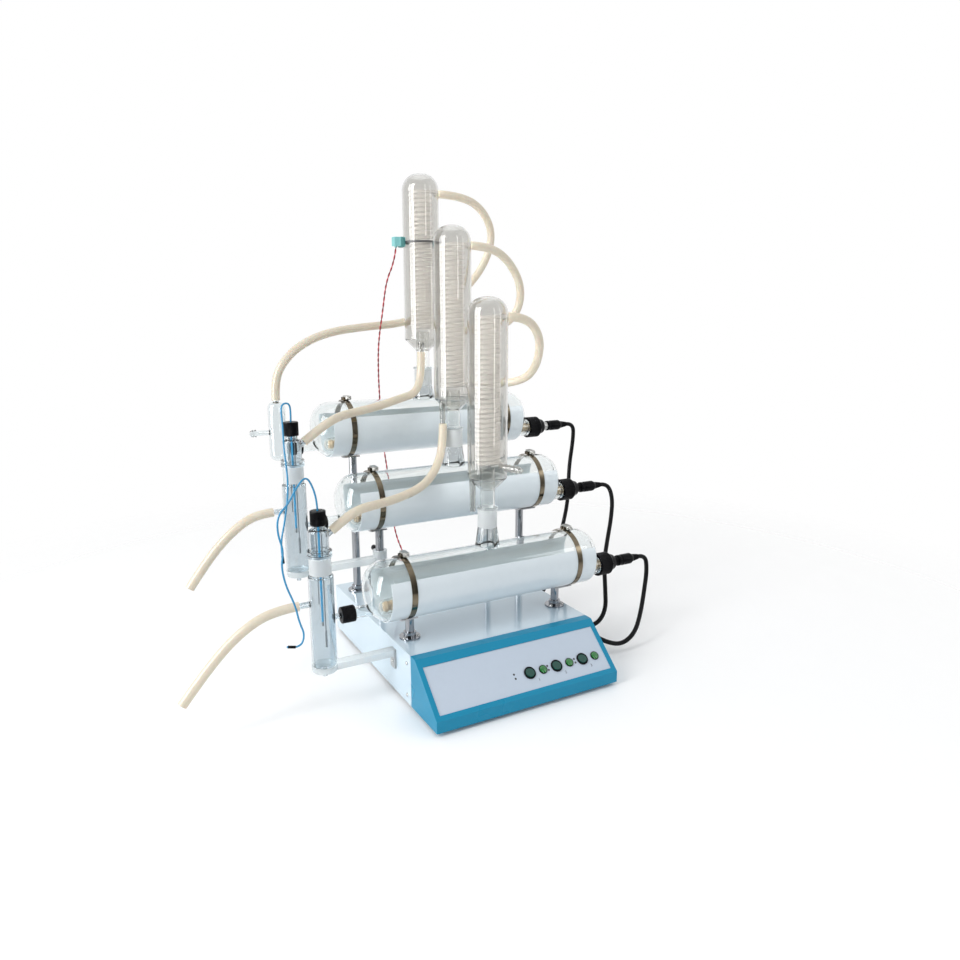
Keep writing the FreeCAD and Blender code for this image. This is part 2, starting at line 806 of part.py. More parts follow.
def plugs():
    """Plug bodies with tapered strain-relief boots on the heater cords."""
    made = []
    for name in ROW:
        row = ROW[name]
        low = LEVEL[name] - size.neck_drop
        start = size.socket_head_end
        body = rod(size.plug_radius, size.plug_end - start, (start, row, low), ALONG_X)
        boot = cone(size.boot_radius, size.cord_radius + size.cap_clearance * 2,
                    size.boot_end - size.plug_end, (size.plug_end, row, low), ALONG_X)
        made.append(fuse(body, boot))
    node("heater_plugs", together(*made))


def neck_cap(name):
    """A bored screw cap that holds the vessel's arm in the boiler's left neck."""
    row = ROW[name]
    low = LEVEL[name] - size.neck_drop
    bore = size.neck_radius + size.cap_clearance
    start = size.boiler_left - size.cap_inset - size.cap_length
    body = turned([(size.arm_radius + size.arm_clearance, FLOOR), (size.cap_radius, FLOOR),
                   (size.cap_radius, size.cap_length), (bore, size.cap_length),
                   (bore, size.cap_wall), (size.arm_radius + size.arm_clearance, size.cap_wall)],
                  [(size.cap_radius, FLOOR, size.cap_clearance * 4)])
    place(body, (start, row, low), ALONG_X)
    grips = []
    for index in range(int(float(size.grip_count))):
        angle = 2 * math.pi * index / float(size.grip_count)
        reach = float(size.cap_radius) + float(size.grip_radius) * 0.6
        grips.append(rod(size.grip_radius, size.cap_length, (start + size.cap_wall,
                         float(row) + reach * math.cos(angle),
                         float(low) + reach * math.sin(angle)), ALONG_X))
    node("neck_cap_" + name, cut(body, *grips))


def neck_seals():
    """Silicone rings squeezed between each arm and neck by the screw caps."""
    rings = []
    for name in ROW:
        low = LEVEL[name] - size.neck_drop
        start = size.boiler_left - size.neck_reach
        ring = cut(rod(size.neck_radius, size.seal_thickness,
                       (start - size.seal_thickness, ROW[name], low), ALONG_X),
                   rod(size.arm_radius, size.seal_thickness + size.overrun * 2,
                       (start - size.seal_thickness - size.overrun, ROW[name], low), ALONG_X))
        rings.append(ring)
    node("neck_seals", together(*rings))


def condenser(name):
    """A tall glass jacket on a ground cone, with coil nipples and a run-off arm."""
    tier = [item for item in TIERS if item[0] == name][0]
    row, level, joint, arm, inlet = tier[1:]
    rim = level + joint
    wall = size.jacket_wall
    x = size.joint_x
    jacket = turned([(FLOOR, size.neck_top), (size.riser_radius, size.neck_top),
                     (size.jacket_radius, size.jacket_floor),
                     (size.jacket_radius, size.jacket_top), (FLOOR, size.jacket_top)],
                    [(size.jacket_radius, size.jacket_top, size.jacket_round),
                     (size.jacket_radius, size.jacket_floor, wall * 3)])
    place(jacket, (x, row, rim))
    inner = size.jacket_radius - wall
    chamber = turned([(FLOOR, size.neck_top + wall), (size.riser_radius, size.neck_top + wall),
                      (inner, size.jacket_floor + wall / 2), (inner, size.jacket_top - wall),
                      (FLOOR, size.jacket_top - wall)],
                     [(inner, size.jacket_top - wall, size.jacket_round - wall)])
    place(chamber, (x, row, rim))
    riser = rod(size.riser_radius, size.riser_top, (x, row, rim))
    ground = cone(size.joint_narrow, size.joint_wide, size.socket_length,
                  (x, row, rim - size.socket_length))
    bore = rod(size.riser_bore, size.riser_top + size.socket_length + size.overrun * 2,
               (x, row, rim - size.socket_length - size.overrun))
    angle = math.radians(float(arm))
    arm_x = float(x) + float(size.arm_circle) * math.cos(angle)
    arm_y = float(row) + float(size.arm_circle) * math.sin(angle)
    low_end = {"front": size.arm_foot, "middle": size.middle_arm_foot,
               "rear": size.rear_arm_foot}[name]
    arm_end = rod(size.arm_radius, size.arm_tip, (arm_x, arm_y, rim + low_end))
    shank = rod(size.arm_shank, size.arm_head - low_end - size.arm_tip,
                (arm_x, arm_y, rim + low_end + size.arm_tip))
    arm_tube = fuse(arm_end, shank)
    arm_bore = rod(size.nipple_bore, size.arm_head - low_end + size.overrun * 2,
                   (arm_x, arm_y, rim + low_end - size.overrun))
    reach = size.jacket_radius + size.nipple_length
    outlet = rod(size.arm_radius, reach - inner + wall, (float(x) + float(inner) - float(wall),
                 row, rim + size.outlet_height), ALONG_X)
    outlet_bore = rod(size.nipple_bore, reach, (float(x) + float(inner) - float(wall)
                      - float(size.overrun), row, rim + size.outlet_height), ALONG_X)
    things = [outlet]
    open_inlet = name == "front"
    length = size.inlet_length if open_inlet else size.nipple_length
    turn = facing(inlet)
    start = float(inner) - float(wall)
    heading = turn.multVec(FreeCAD.Vector(0, 0, 1))
    foot = (float(x) + heading.x * start, float(row) + heading.y * start,
            rim + size.inlet_height)
    things.append(rod(size.arm_radius, wall * 2 + length, foot, turn))
    back = start - float(size.overrun)
    bored = (float(x) + heading.x * back, float(row) + heading.y * back, rim + size.inlet_height)
    inlet_bore = rod(size.nipple_bore, wall * 2 + length + size.overrun * 2, bored, turn)
    if open_inlet:
        for index in range(int(float(size.barb_count))):
            away = float(size.jacket_radius) + float(length) - float(size.barb_pitch) * (index + 1)
            spot = (float(x) + heading.x * away, float(row) + heading.y * away,
                    rim + size.inlet_height)
            things.append(cone(size.arm_radius + size.barb_rise, size.arm_radius,
                               size.barb_pitch * 0.8, spot, turn))
    shell = cut(fuse(jacket, arm_tube), chamber)
    body = fuse(shell, cut(riser, bore), ground, *things)
    node("condenser_" + name, cut(body, bore, arm_bore, outlet_bore, inlet_bore))


def polygon(centre, direction, radius, sides):
    """A flat many-sided wire square to a direction."""
    turn = FreeCAD.Rotation(FreeCAD.Vector(0, 0, 1), direction)
    corners = []
    for index in range(sides + 1):
        angle = 2 * math.pi * (index % sides) / sides
        corners.append(centre + turn.multVec(
            FreeCAD.Vector(radius * math.cos(angle), radius * math.sin(angle), 0)))
    return Part.makePolygon(corners)


def sweep(path, centre, direction, radius, sides):
    """A solid tube along a path, with a round section or a many-sided one."""
    if sides:
        section = polygon(centre, direction, radius, sides)
    else:
        section = Part.Wire(Part.Circle(centre, direction, radius).toShape())
    return path.makePipeShell([section], True, False)


def coil(name):
    """One glass tube wound inside the jacket, its ends bent out to the two nipples."""
    tier = [item for item in TIERS if item[0] == name][0]
    row, level, joint, arm, inlet = tier[1:]
    radius = float(size.coil_radius)
    tube = float(size.coil_tube)
    bend = float(size.coil_bend)
    low = float(size.inlet_height)
    high = float(size.outlet_height)
    loops = int(float(size.coil_loops))
    halves = loops * 2
    first = math.radians(float(inlet))
    # The winding runs from the inlet's bearing to the outlet's, less the two end bends.
    swing = math.atan2(bend, radius)
    start = first + swing
    final = 2 * math.pi * (loops + round((first) / (2 * math.pi))) - swing
    steps = halves
    turn = (final - start) / steps
    climb = (high - low) / steps
    inner = float(size.jacket_radius) - float(size.jacket_wall) - float(size.jacket_wall)

    def on_coil(angle, height):
        return FreeCAD.Vector(radius * math.cos(angle), radius * math.sin(angle), height)

    edges = []
    centre_first = FreeCAD.Vector(math.cos(first), math.sin(first), 0)
    mouth = centre_first * inner + FreeCAD.Vector(0, 0, low)
    knee = centre_first * (math.hypot(radius, bend) + bend * 0.1)
    knee.z = low
    meet = on_coil(start, low)
    middle = bend_middle(knee, centre_first * -1, meet)
    edges.append(Part.LineSegment(mouth, knee).toShape())
    edges.append(Part.Arc(knee, middle, meet).toShape())
    points = [on_coil(start + turn * index, low + climb * index) for index in range(steps + 1)]
    for index in range(steps):
        half = on_coil(start + turn * (index + 0.5), low + climb * (index + 0.5))
        edges.append(Part.Arc(points[index], half, points[index + 1]).toShape())
    out = FreeCAD.Vector(1, 0, 0)
    last_knee = out * (math.hypot(radius, bend) + bend * 0.1)
    last_knee.z = high
    last_mouth = out * inner + FreeCAD.Vector(0, 0, high)
    middle = bend_middle(last_knee, out * -1, points[-1])
    edges.append(Part.Arc(points[-1], middle, last_knee).toShape())
    edges.append(Part.LineSegment(last_knee, last_mouth).toShape())
    path = Part.Wire(edges)
    shape = sweep(path, mouth, centre_first * -1, tube, 6)
    thing = shaped("coil_" + name, shape)
    place(thing, (size.joint_x, row, level + joint))
    pitch = climb * 2
    print("coil", name, "loops", loops, "pitch", round(pitch, 2), "least gap",
          round(pitch - 2 * tube, 2), "valid", shape.isValid())


def bend_middle(knee, heading, meet):
    """The middle of an arc that leaves knee along heading and ends at meet."""
    chord = meet - knee
    along = chord.dot(heading)
    side = chord - heading * along
    reach = side.Length
    radius = (along * along + reach * reach) / (2 * reach)
    sideways = side.normalize()
    centre = knee + sideways * radius
    halfway = math.atan2(along, radius - reach) / 2
    return centre - sideways * (radius * math.cos(halfway)) + heading * (radius * math.sin(halfway))


def level_vessel(name):
    """A test-tube-like vessel with a ground socket, a drain nipple and an arm to the boiler."""
    row, level = ROW[name], LEVEL[name]
    x = size.vessel_x
    wall = size.vessel_wall
    height = size.vessel_shoulder - size.vessel_bottom
    bottom = level + size.vessel_bottom
    barrel = turned([(FLOOR, FLOOR), (size.vessel_radius, FLOOR), (size.vessel_radius, height),
                     (FLOOR, height)], [(size.vessel_radius, FLOOR, size.vessel_round),
                                        (size.vessel_radius, height, wall)])
    place(barrel, (x, row, bottom))
    inner = size.vessel_radius - wall
    inside = turned([(FLOOR, FLOOR), (inner, FLOOR), (inner, height - wall * 2),
                     (FLOOR, height - wall * 2)], [(inner, FLOOR, size.vessel_round - wall)])
    place(inside, (x, row, bottom + wall))
    neck = size.vessel_rim - size.vessel_shoulder
    socket = rod(size.vessel_socket, neck, (x, row, level + size.vessel_shoulder))
    rim = rod(size.vessel_rim_radius, size.vessel_rim_height,
              (x, row, level + size.vessel_rim - size.vessel_rim_height))
    ground = cone(size.cone_narrow, size.cone_wide, size.cone_length,
                  (x, row, level + size.vessel_rim - size.cone_length))
    throat = rod(size.cone_narrow, size.vessel_rim - size.vessel_shoulder,
                 (x, row, level + size.vessel_shoulder - wall * 2))
    drip = rod(size.nipple_radius, size.nipple_drop + wall, (x, row, bottom - size.nipple_drop))
    drip_bore = rod(size.nipple_radius - size.vessel_wall, size.nipple_drop,
                    (x, row, bottom - size.nipple_drop - wall))
    drain_reach = size.vessel_radius + size.drain_length
    drain = rod(size.arm_radius, drain_reach, (x - drain_reach, row, level + size.drain_height),
                ALONG_X)
    drain_bore = rod(size.nipple_bore, drain_reach + size.overrun,
                     (x - drain_reach - size.overrun, row, level + size.drain_height), ALONG_X)
    arm, arm_bore = boiler_arm(x, row, level)
    glass = fuse(barrel, socket, rim, drip, drain, arm)
    node("level_vessel_" + name, cut(glass, inside, ground, throat, drip_bore, drain_bore,
                                     arm_bore))


def boiler_arm(x, row, level):
    """The glass arm from a vessel into the boiler's left neck, and its bore."""
    end = size.boiler_left - size.neck_reach + size.neck_wall * 3
    low = level - size.neck_drop
    arm = rod(size.arm_radius, end - x, (x, row, low), ALONG_X)
    bore = rod(size.nipple_bore, end - x + size.overrun, (x, row, low), ALONG_X)
    return arm, bore


def vessel_head(name):
    """The stopper head of a level vessel, with its inclined inlet arm."""
    row, level = ROW[name], LEVEL[name]
    x = size.vessel_x
    wall = size.vessel_wall
    rim = level + size.vessel_rim
    flange = rod(size.vessel_rim_radius, size.head_flange, (x, row, rim))
    tube = turned([(FLOOR, FLOOR), (size.head_radius, FLOOR),
                   (size.head_radius, size.head_top - size.vessel_rim),
                   (FLOOR, size.head_top - size.vessel_rim)],
                  [(size.head_radius, size.head_top - size.vessel_rim, wall * 2)])
    place(tube, (x, row, rim))
    neck = rod(size.neck_radius, size.head_neck_top - size.vessel_rim, (x, row, rim))
    ground = cone(size.cone_narrow, size.cone_wide, size.cone_length,
                  (x, row, rim - size.cone_length))
    tilt = FreeCAD.Rotation(FreeCAD.Vector(0, 1, 0), 90 - float(size.head_arm_slope))
    arm = rod(size.arm_radius, size.head_arm_length, (x, row, level + size.head_arm_height), tilt)
    arm_bore = rod(size.nipple_bore, size.head_arm_length + size.overrun,
                   (x, row, level + size.head_arm_height), tilt)
    hollow = rod(size.head_radius - wall, size.head_top - size.vessel_rim - wall * 2,
                 (x, row, rim + wall))
    low_bore = rod(size.cone_narrow - wall, size.cone_length + size.overrun + wall * 2,
                   (x, row, rim - size.cone_length - size.overrun))
    top_bore = rod(size.neck_radius - size.neck_wall, size.head_neck_top,
                   (x, row, rim + wall * 2))
    glass = fuse(flange, tube, neck, ground, arm)
    node("vessel_head_" + name, cut(glass, hollow, low_bore, top_bore, arm_bore))


def vessel_cap(name):
    """The black screw cap on a vessel head; the electrode leads come out of its middle."""
    row, level = ROW[name], LEVEL[name]
    height = size.vessel_cap_top - size.vessel_cap_bottom
    bore = size.neck_radius + size.cap_clearance
    hole = size.lead_radius * 2
    roof = size.vessel_cap_top - size.head_neck_top - size.cap_clearance
    body = turned([(hole, height), (hole, height - roof), (bore, height - roof), (bore, FLOOR),
                   (size.vessel_cap_radius, FLOOR), (size.vessel_cap_radius, height)],
                  [(size.vessel_cap_radius, height, size.cap_clearance * 4)])
    place(body, (size.vessel_x, row, level + size.vessel_cap_bottom))
    grips = []
    for index in range(int(float(size.grip_count))):
        angle = 2 * math.pi * index / float(size.grip_count)
        reach = float(size.vessel_cap_radius) + float(size.grip_radius) * 0.6
        grips.append(rod(size.grip_radius, height - size.cap_wall,
                         (float(size.vessel_x) + reach * math.cos(angle),
                          float(row) + reach * math.sin(angle),
                          level + size.vessel_cap_bottom)))
    node("vessel_cap_" + name, cut(body, *grips))


def electrodes():
    """Three level electrodes in each vessel, hung from a plug in the head's neck."""
    sets = []
    for name in ("front", "middle"):
        row, level = ROW[name], LEVEL[name]
        x = size.vessel_x
        top = level + size.head_neck_top
        plug = rod(size.neck_radius - size.neck_wall, size.cap_radius,
                   (x, row, top - size.cap_radius))
        spread = size.electrode_spread * 0.6
        radius = size.electrode_radius
        main = rod(radius, size.head_neck_top - size.electrode_end - size.cap_radius / 2,
                   (x, row, level + size.electrode_end))
        short = rod(radius / 2, size.head_neck_top - size.short_end - size.cap_radius / 2,
                    (x - spread, row, level + size.short_end))
        long = rod(radius / 2, size.head_neck_top - size.long_end - size.cap_radius / 2,
                   (x + spread, row, level + size.long_end))
        tip = rod(radius, size.tip_length, (x + spread, row, level + size.long_end))
        sets.append(fuse(plug, main, short, long, tip))
    node("electrodes", together(*sets))


def feed_vessel():
    """The constant-level vessel beside the rear boiler, with a ridged overflow."""
    row, level = ROW["rear"], LEVEL["rear"]
    x = size.feed_x
    wall = size.vessel_wall
    height = size.feed_top - size.feed_bottom
    barrel = turned([(FLOOR, FLOOR), (size.feed_radius, FLOOR), (size.feed_radius, height),
                     (FLOOR, height)], [(size.feed_radius, FLOOR, size.feed_round),
                                        (size.feed_radius, height, size.feed_round)])
    place(barrel, (x, row, level + size.feed_bottom))
    inner = size.feed_radius - wall
    inside = turned([(FLOOR, FLOOR), (inner, FLOOR), (inner, height - wall * 2),
                     (FLOOR, height - wall * 2)], [(inner, FLOOR, size.feed_round - wall),
                                                   (inner, height - wall * 2,
                                                    size.feed_round - wall)])
    place(inside, (x, row, level + size.feed_bottom + wall))
    top = rod(size.arm_radius, size.nipple_length + wall, (x, row, level + size.feed_top - wall))
    top_bore = rod(size.nipple_bore, size.nipple_length + wall * 3,
                   (x, row, level + size.feed_top - wall * 2))
    reach = size.feed_radius + size.feed_barb_length
    overflow = rod(size.arm_radius, reach, (x - reach, row, level + size.feed_barb_height), ALONG_X)
    overflow_bore = rod(size.nipple_bore, reach + size.overrun,
                        (x - reach - size.overrun, row, level + size.feed_barb_height), ALONG_X)
    barbs = [cone(size.arm_radius, size.arm_radius + size.barb_rise, size.barb_pitch * 0.6,
                  (x - reach + size.barb_pitch * 0.6 * index, row,
                   level + size.feed_barb_height), ALONG_X) for index in range(2)]
    arm, arm_bore = boiler_arm(x, row, level)
    glass = fuse(barrel, top, overflow, arm, *barbs)
    node("feed_vessel", cut(glass, inside, top_bore, overflow_bore, arm_bore))


def strips():
    """Strips that carry the feet of the two level vessels."""
    made = []
    for name in ("front", "middle"):
        row, level = ROW[name], LEVEL[name]
        low = level + size.vessel_bottom + size.strip_lift
        x = size.vessel_x
        end = -half_width if name == "front" else size.left_post
        bar = block(end - x, size.strip_half_width * 2, size.strip_height,
                    (x, row - size.strip_half_width, low))
        eye = turned([(FLOOR, FLOOR), (size.strip_eye, FLOOR),
                      (size.strip_eye, size.strip_height), (FLOOR, size.strip_height)],
                     [(size.strip_eye, FLOOR, size.strip_round)])
        place(eye, (x, row, low))
        things = [bar, eye]
        seat = turned([(FLOOR, FLOOR), (size.vessel_radius, FLOOR),
                       (size.vessel_radius, size.cone_length), (FLOOR, size.cone_length)],
                      [(size.vessel_radius, FLOOR, size.vessel_round)])
        place(seat, (x, row, level + size.vessel_bottom))
        hole = rod(size.nipple_radius * 2, size.strip_height + size.overrun * 2,
                   (x, row, low - size.overrun))
        holes = [seat, hole]
        if name == "front":
            things.append(block(size.tab_sheet, size.strip_half_width * 2,
                                size.strip_tab + size.strip_height,
                                (end - size.tab_sheet, row - size.strip_half_width,
                                 low - size.strip_tab)))
        else:
            collar_low = low + size.collar_lift
            middle = collar_low + size.knob_rise
            things.append(rod(size.collar_block, size.collar_block_height, (end, row, collar_low)))
            holes.append(rod(size.post_radius, size.collar_block_height + size.overrun * 2,
                             (end, row, collar_low - size.overrun)))
            holes.append(rod(size.knob_stem + size.cap_clearance,
                             size.collar_block + size.overrun, (end, row, middle), ALONG_Y))
            collar_knob(end, row, middle)
        made.append(cut(fuse(*things), *holes))
    node("vessel_strips", together(*made))


def collar_knob(x, row, middle):
    """The thumb knob that clamps the upper strip's collar to its post."""
    stem_start = row + size.post_radius + size.cap_clearance
    stem = rod(size.knob_stem, size.knob_stem_length, (x, stem_start, middle), ALONG_Y)
    head = turned([(FLOOR, FLOOR), (size.knob_radius, FLOOR), (size.knob_radius, size.knob_length),
                   (FLOOR, size.knob_length)],
                  [(size.knob_radius, size.knob_length, size.knob_stem / 2)])
    place(head, (x, stem_start + size.knob_stem_length - size.knob_stem, middle), ALONG_Y)
    node("collar_knob", fuse(stem, head))


def thermostat():
    """A teal overheat switch held against the rear condenser by a black strap."""
    row = ROW["rear"]
    height = LEVEL["rear"] + JOINT["rear"] + size.strap_height
    outer = size.jacket_radius + size.strap_sheet
    x = size.joint_x
    ring = rod(outer, size.strap_width, (x, row, height - size.strap_width / 2))
    hole = rod(size.jacket_radius, size.strap_width + size.overrun * 2,
               (x, row, height - size.strap_width / 2 - size.overrun))
    tail = block(size.strap_tail, size.strap_sheet, size.strap_width,
                 (x + size.jacket_radius, row - size.strap_sheet / 2,
                  height - size.strap_width / 2))
    node("thermostat_strap", cut(fuse(ring, tail), hole))
    case = block(size.thermostat_length, size.thermostat_width, size.thermostat_height,
                 (x - outer - size.thermostat_length, row - size.thermostat_width / 2,
                  height - size.thermostat_height / 2))
    lug = rod(size.terminal_radius, size.overrun, (x - outer - size.thermostat_length
                                                   + size.terminal_radius * 2, row,
                                                   height - size.thermostat_height / 2
                                                   - size.overrun))
    node("thermostat", fuse(case, lug))
    return height


def gland_places():
    """The three heater cord glands and, last, the mains cord's."""
    return [size.front_gland, size.middle_gland, size.rear_gland, size.mains_gland]


def glands():
    """Bored cord glands on the right side and a grommet in the top."""
    made = []
    for y in gland_places():
        spot = (half_width, y, size.gland_height)
        made.append(cut(fuse(rod(size.gland_radius, size.gland_length, spot, ALONG_X),
                             rod(size.gland_nut, size.gland_nut_length, spot, ALONG_X)),
                        rod(size.cord_radius, size.gland_length + size.overrun * 2,
                            (half_width - size.overrun, y, size.gland_height), ALONG_X)))
    made.append(cut(rod(size.grommet_radius, size.grommet_height,
                        (size.grommet_x, size.grommet_y, cabinet_top)),
                    rod(size.twin_lead_radius, size.grommet_height + size.overrun * 2,
                        (size.grommet_x, size.grommet_y, cabinet_top - size.overrun))))
    node("cord_glands", together(*made))


def route_wire(points):
    """Straight runs joined by arcs as large as each pair of runs allows."""
    edges = []
    at = points[0]
    radii = []
    for index in range(1, len(points) - 1):
        before, corner, after = points[index - 1], points[index], points[index + 1]
        run_in = corner - before
        run_out = after - corner
        heading_in = FreeCAD.Vector(run_in).normalize()
        heading_out = FreeCAD.Vector(run_out).normalize()
        turn = heading_in.getAngle(heading_out)
        trim = ARC_SHARE * min(run_in.Length, run_out.Length)
        radius = trim / math.tan(turn / 2)
        radii.append(radius)
        first = corner - heading_in * trim
        last = corner + heading_out * trim
        inward = (heading_out - heading_in).normalize()
        centre = corner + inward * (radius / math.cos(turn / 2))
        middle = centre - inward * radius
        edges.append(Part.LineSegment(at, first).toShape())
        edges.append(Part.Arc(first, middle, last).toShape())
        at = last
    edges.append(Part.LineSegment(at, points[-1]).toShape())
    return Part.Wire(edges), radii


def tube(name, points, radius, sides, bores=()):
    """A flexible tube along its route; bores are (end, depth) for what it is pushed on."""
    corners = [FreeCAD.Vector(*[float(part) for part in point]) for point in points]
    path, radii = route_wire(corners)
    heading = FreeCAD.Vector(corners[1] - corners[0]).normalize()
    solid = sweep(path, corners[0], heading, float(radius), sides)
    section = sides / 2 * float(radius) ** 2 * math.sin(2 * math.pi / sides)
    print("tube", name, "length", round(path.Length, 1), "least radius", round(min(radii), 1),
          "radii", [round(value) for value in radii], "volume share",
          round(solid.Volume / (section * path.Length), 4), "lowest",
          round(solid.BoundBox.ZMin, 1), "valid", solid.isValid())
    for end in bores:
        spot = corners[end]
        inward = corners[1] - corners[0] if end == 0 else corners[-2] - corners[-1]
        drill = Part.makeCylinder(float(size.hose_bore), float(size.bored_depth), spot,
                                  FreeCAD.Vector(inward).normalize())
        solid = solid.cut(drill)
    if solid.ShapeType != "Solid" and len(solid.Solids) == 1:
        solid = solid.Solids[0]
    return shaped(name, solid)


ARC_SHARE = 0.45
HOSE_SIDES = 8
LEAD_SIDES = 6


def condenser_port(name, height, bearing):
    """Where a hose begins on a condenser's nipple, and one point further out."""
    angle = math.radians(bearing)
    level = float(LEVEL[name] + JOINT[name] + height)
    away = float(size.jacket_radius + size.hose_start)
    return (float(size.joint_x) + away * math.cos(angle),
            float(ROW[name]) + away * math.sin(angle), level)


def arm_foot(name, start):
    """Where a hose begins on a run-off arm, pushed on from below."""
    tier = [item for item in TIERS if item[0] == name][0]
    angle = math.radians(float(tier[4]))
    return (float(size.joint_x) + float(size.arm_circle) * math.cos(angle),
            float(tier[1]) + float(size.arm_circle) * math.sin(angle),
            float(tier[2] + tier[3] + start + size.pushed_on))


def head_port(name, away):
    """A point on the line of a vessel head's inclined arm."""
    angle = math.radians(float(size.head_arm_slope))
    return (float(size.vessel_x) + away * math.cos(angle), float(ROW[name]),
            float(LEVEL[name] + size.head_arm_height) + away * math.sin(angle))


def hoses():
    """Silicone hoses, in the order in which the water runs through them."""
    rear_top = condenser_port("rear", size.outlet_height, 0)
    middle_top = condenser_port("middle", size.outlet_height, 0)
    front_top = condenser_port("front", size.outlet_height, 0)
    rear_low = condenser_port("rear", size.inlet_height, 0)
    middle_low = condenser_port("middle", size.inlet_height, 0)
    radius = size.hose_radius
    front_y, middle_y, rear_y = [float(ROW[name]) for name in ROW]
    feed_top = float(LEVEL["rear"] + size.feed_top) + 2
    tube("hose_feed", [rear_top, (77, rear_y, rear_top[2]), (118, 158, 669), (141, 165, 632),
                       (130, 177, 583), (93, 190, 538), (44, 196, 508), (-16, 189, 493),
                       (-80, 176, 489), (-143, 164, 482), (-190, 155, 464), (-219, 151, 437),
                       (float(size.feed_x), rear_y, 411), (float(size.feed_x), rear_y, feed_top)],
         radius, HOSE_SIDES, (0, -1))
    tube("hose_rear_link", [middle_top, (69, middle_y, middle_top[2]), (106, 52, 582),
                            (130, 58, 545), (128, 70, 506), (108, 98, 484), (77, 132, 481),
                            (60, rear_y, rear_low[2]), rear_low], radius, HOSE_SIDES, (0, -1))
    tube("hose_middle_link", [front_top, (66, front_y, front_top[2]), (94, -48, 478),
                              (101, -34, 446), (103, -12, 424), (100, 9, 413),
                              (86, 33, 406.5), (62, middle_y, middle_low[2]), middle_low],
         radius, HOSE_SIDES, (0, -1))
    start = arm_foot("rear", size.rear_arm_foot)
    tube("hose_distillate_rear", [start, (start[0], start[1], start[2] - 34), (-24, 114, 390),
                                  (-54, 103, 385), (-102, 90, 375), (-150, 78, 370),
                                  (-172, 58, 368), head_port("middle", 50),
                                  head_port("middle", float(size.head_arm_bare))],
         radius, HOSE_SIDES, (0, -1))
    start = arm_foot("middle", size.middle_arm_foot)
    tube("hose_distillate_middle", [start, (start[0], start[1], start[2] - 33),
                                    (-39, 17, 289), (-68, 0, 271), (-110, -14, 263),
                                    (-152, -34, 263), (-175, -48, 265), head_port("front", 50),
                                    head_port("front", float(size.head_arm_bare))],
         radius, HOSE_SIDES, (0, -1))
    drain = float(size.vessel_x) - float(size.vessel_radius) - float(size.drain_bare)
    tube("hose_drain_middle", [(drain, middle_y, float(LEVEL["middle"])),
                               (-292, middle_y, float(LEVEL["middle"])),
                               (-325, 46, 228), (-356, 43, 197), (-381, 39, 164)],
         radius, HOSE_SIDES, (0, -1))
    tube("hose_drain_front", [(drain, front_y, float(LEVEL["front"])),
                              (-300, front_y, float(LEVEL["front"])),
                              (-340, -58, 133), (-379, -60, 98), (-413, -62, 57)],
         radius, HOSE_SIDES, (0, -1))


def cords():
    """Heater cords, from each boot down beside the cabinet and into its gland."""
    boot = float(size.boot_end)
    low = {name: float(LEVEL[name] - size.neck_drop) for name in ROW}
    front_y, middle_y, rear_y = [float(ROW[name]) for name in ("front", "middle", "rear")]
    gland_x = float(half_width) + float(size.gland_length)
    height = float(size.gland_height)
    glands_at = [float(size.front_gland), float(size.middle_gland), float(size.rear_gland)]
    radius = size.cord_radius
    tube("cord_heater_front", [(boot, front_y, low["front"]), (299, front_y, low["front"]),
                               (300, -60, 103), (289, -68, 72), (266, -88, 46),
                               (241, -105, 24), (214, -107, 12), (190, -98, 18),
                               (171, glands_at[0] - 4, height - 3),
                               (gland_x, glands_at[0], height)], radius, HOSE_SIDES)
    tube("cord_heater_middle", [(boot, middle_y, low["middle"]),
                                (299, middle_y, low["middle"]), (303, 37, 203),
                                (296, 30, 170), (274, 11, 139), (252, -10, 110),
                                (237, -34, 76), (224, -54, 46), (200, -58, 26),
                                (176, glands_at[1] - 8, 29),
                                (gland_x, glands_at[1], height)],
         radius, HOSE_SIDES)
    tube("cord_heater_rear", [(boot, rear_y, low["rear"]), (299, rear_y, low["rear"]),
                              (300, rear_y, low["rear"] - 28), (292, rear_y, 236),
                              (286, 141, 182), (258, 116, 140), (224, 92, 97),
                              (199, 74, 60), (178, glands_at[2] + 3, height + 7),
                              (gland_x, glands_at[2], height)], radius, HOSE_SIDES)


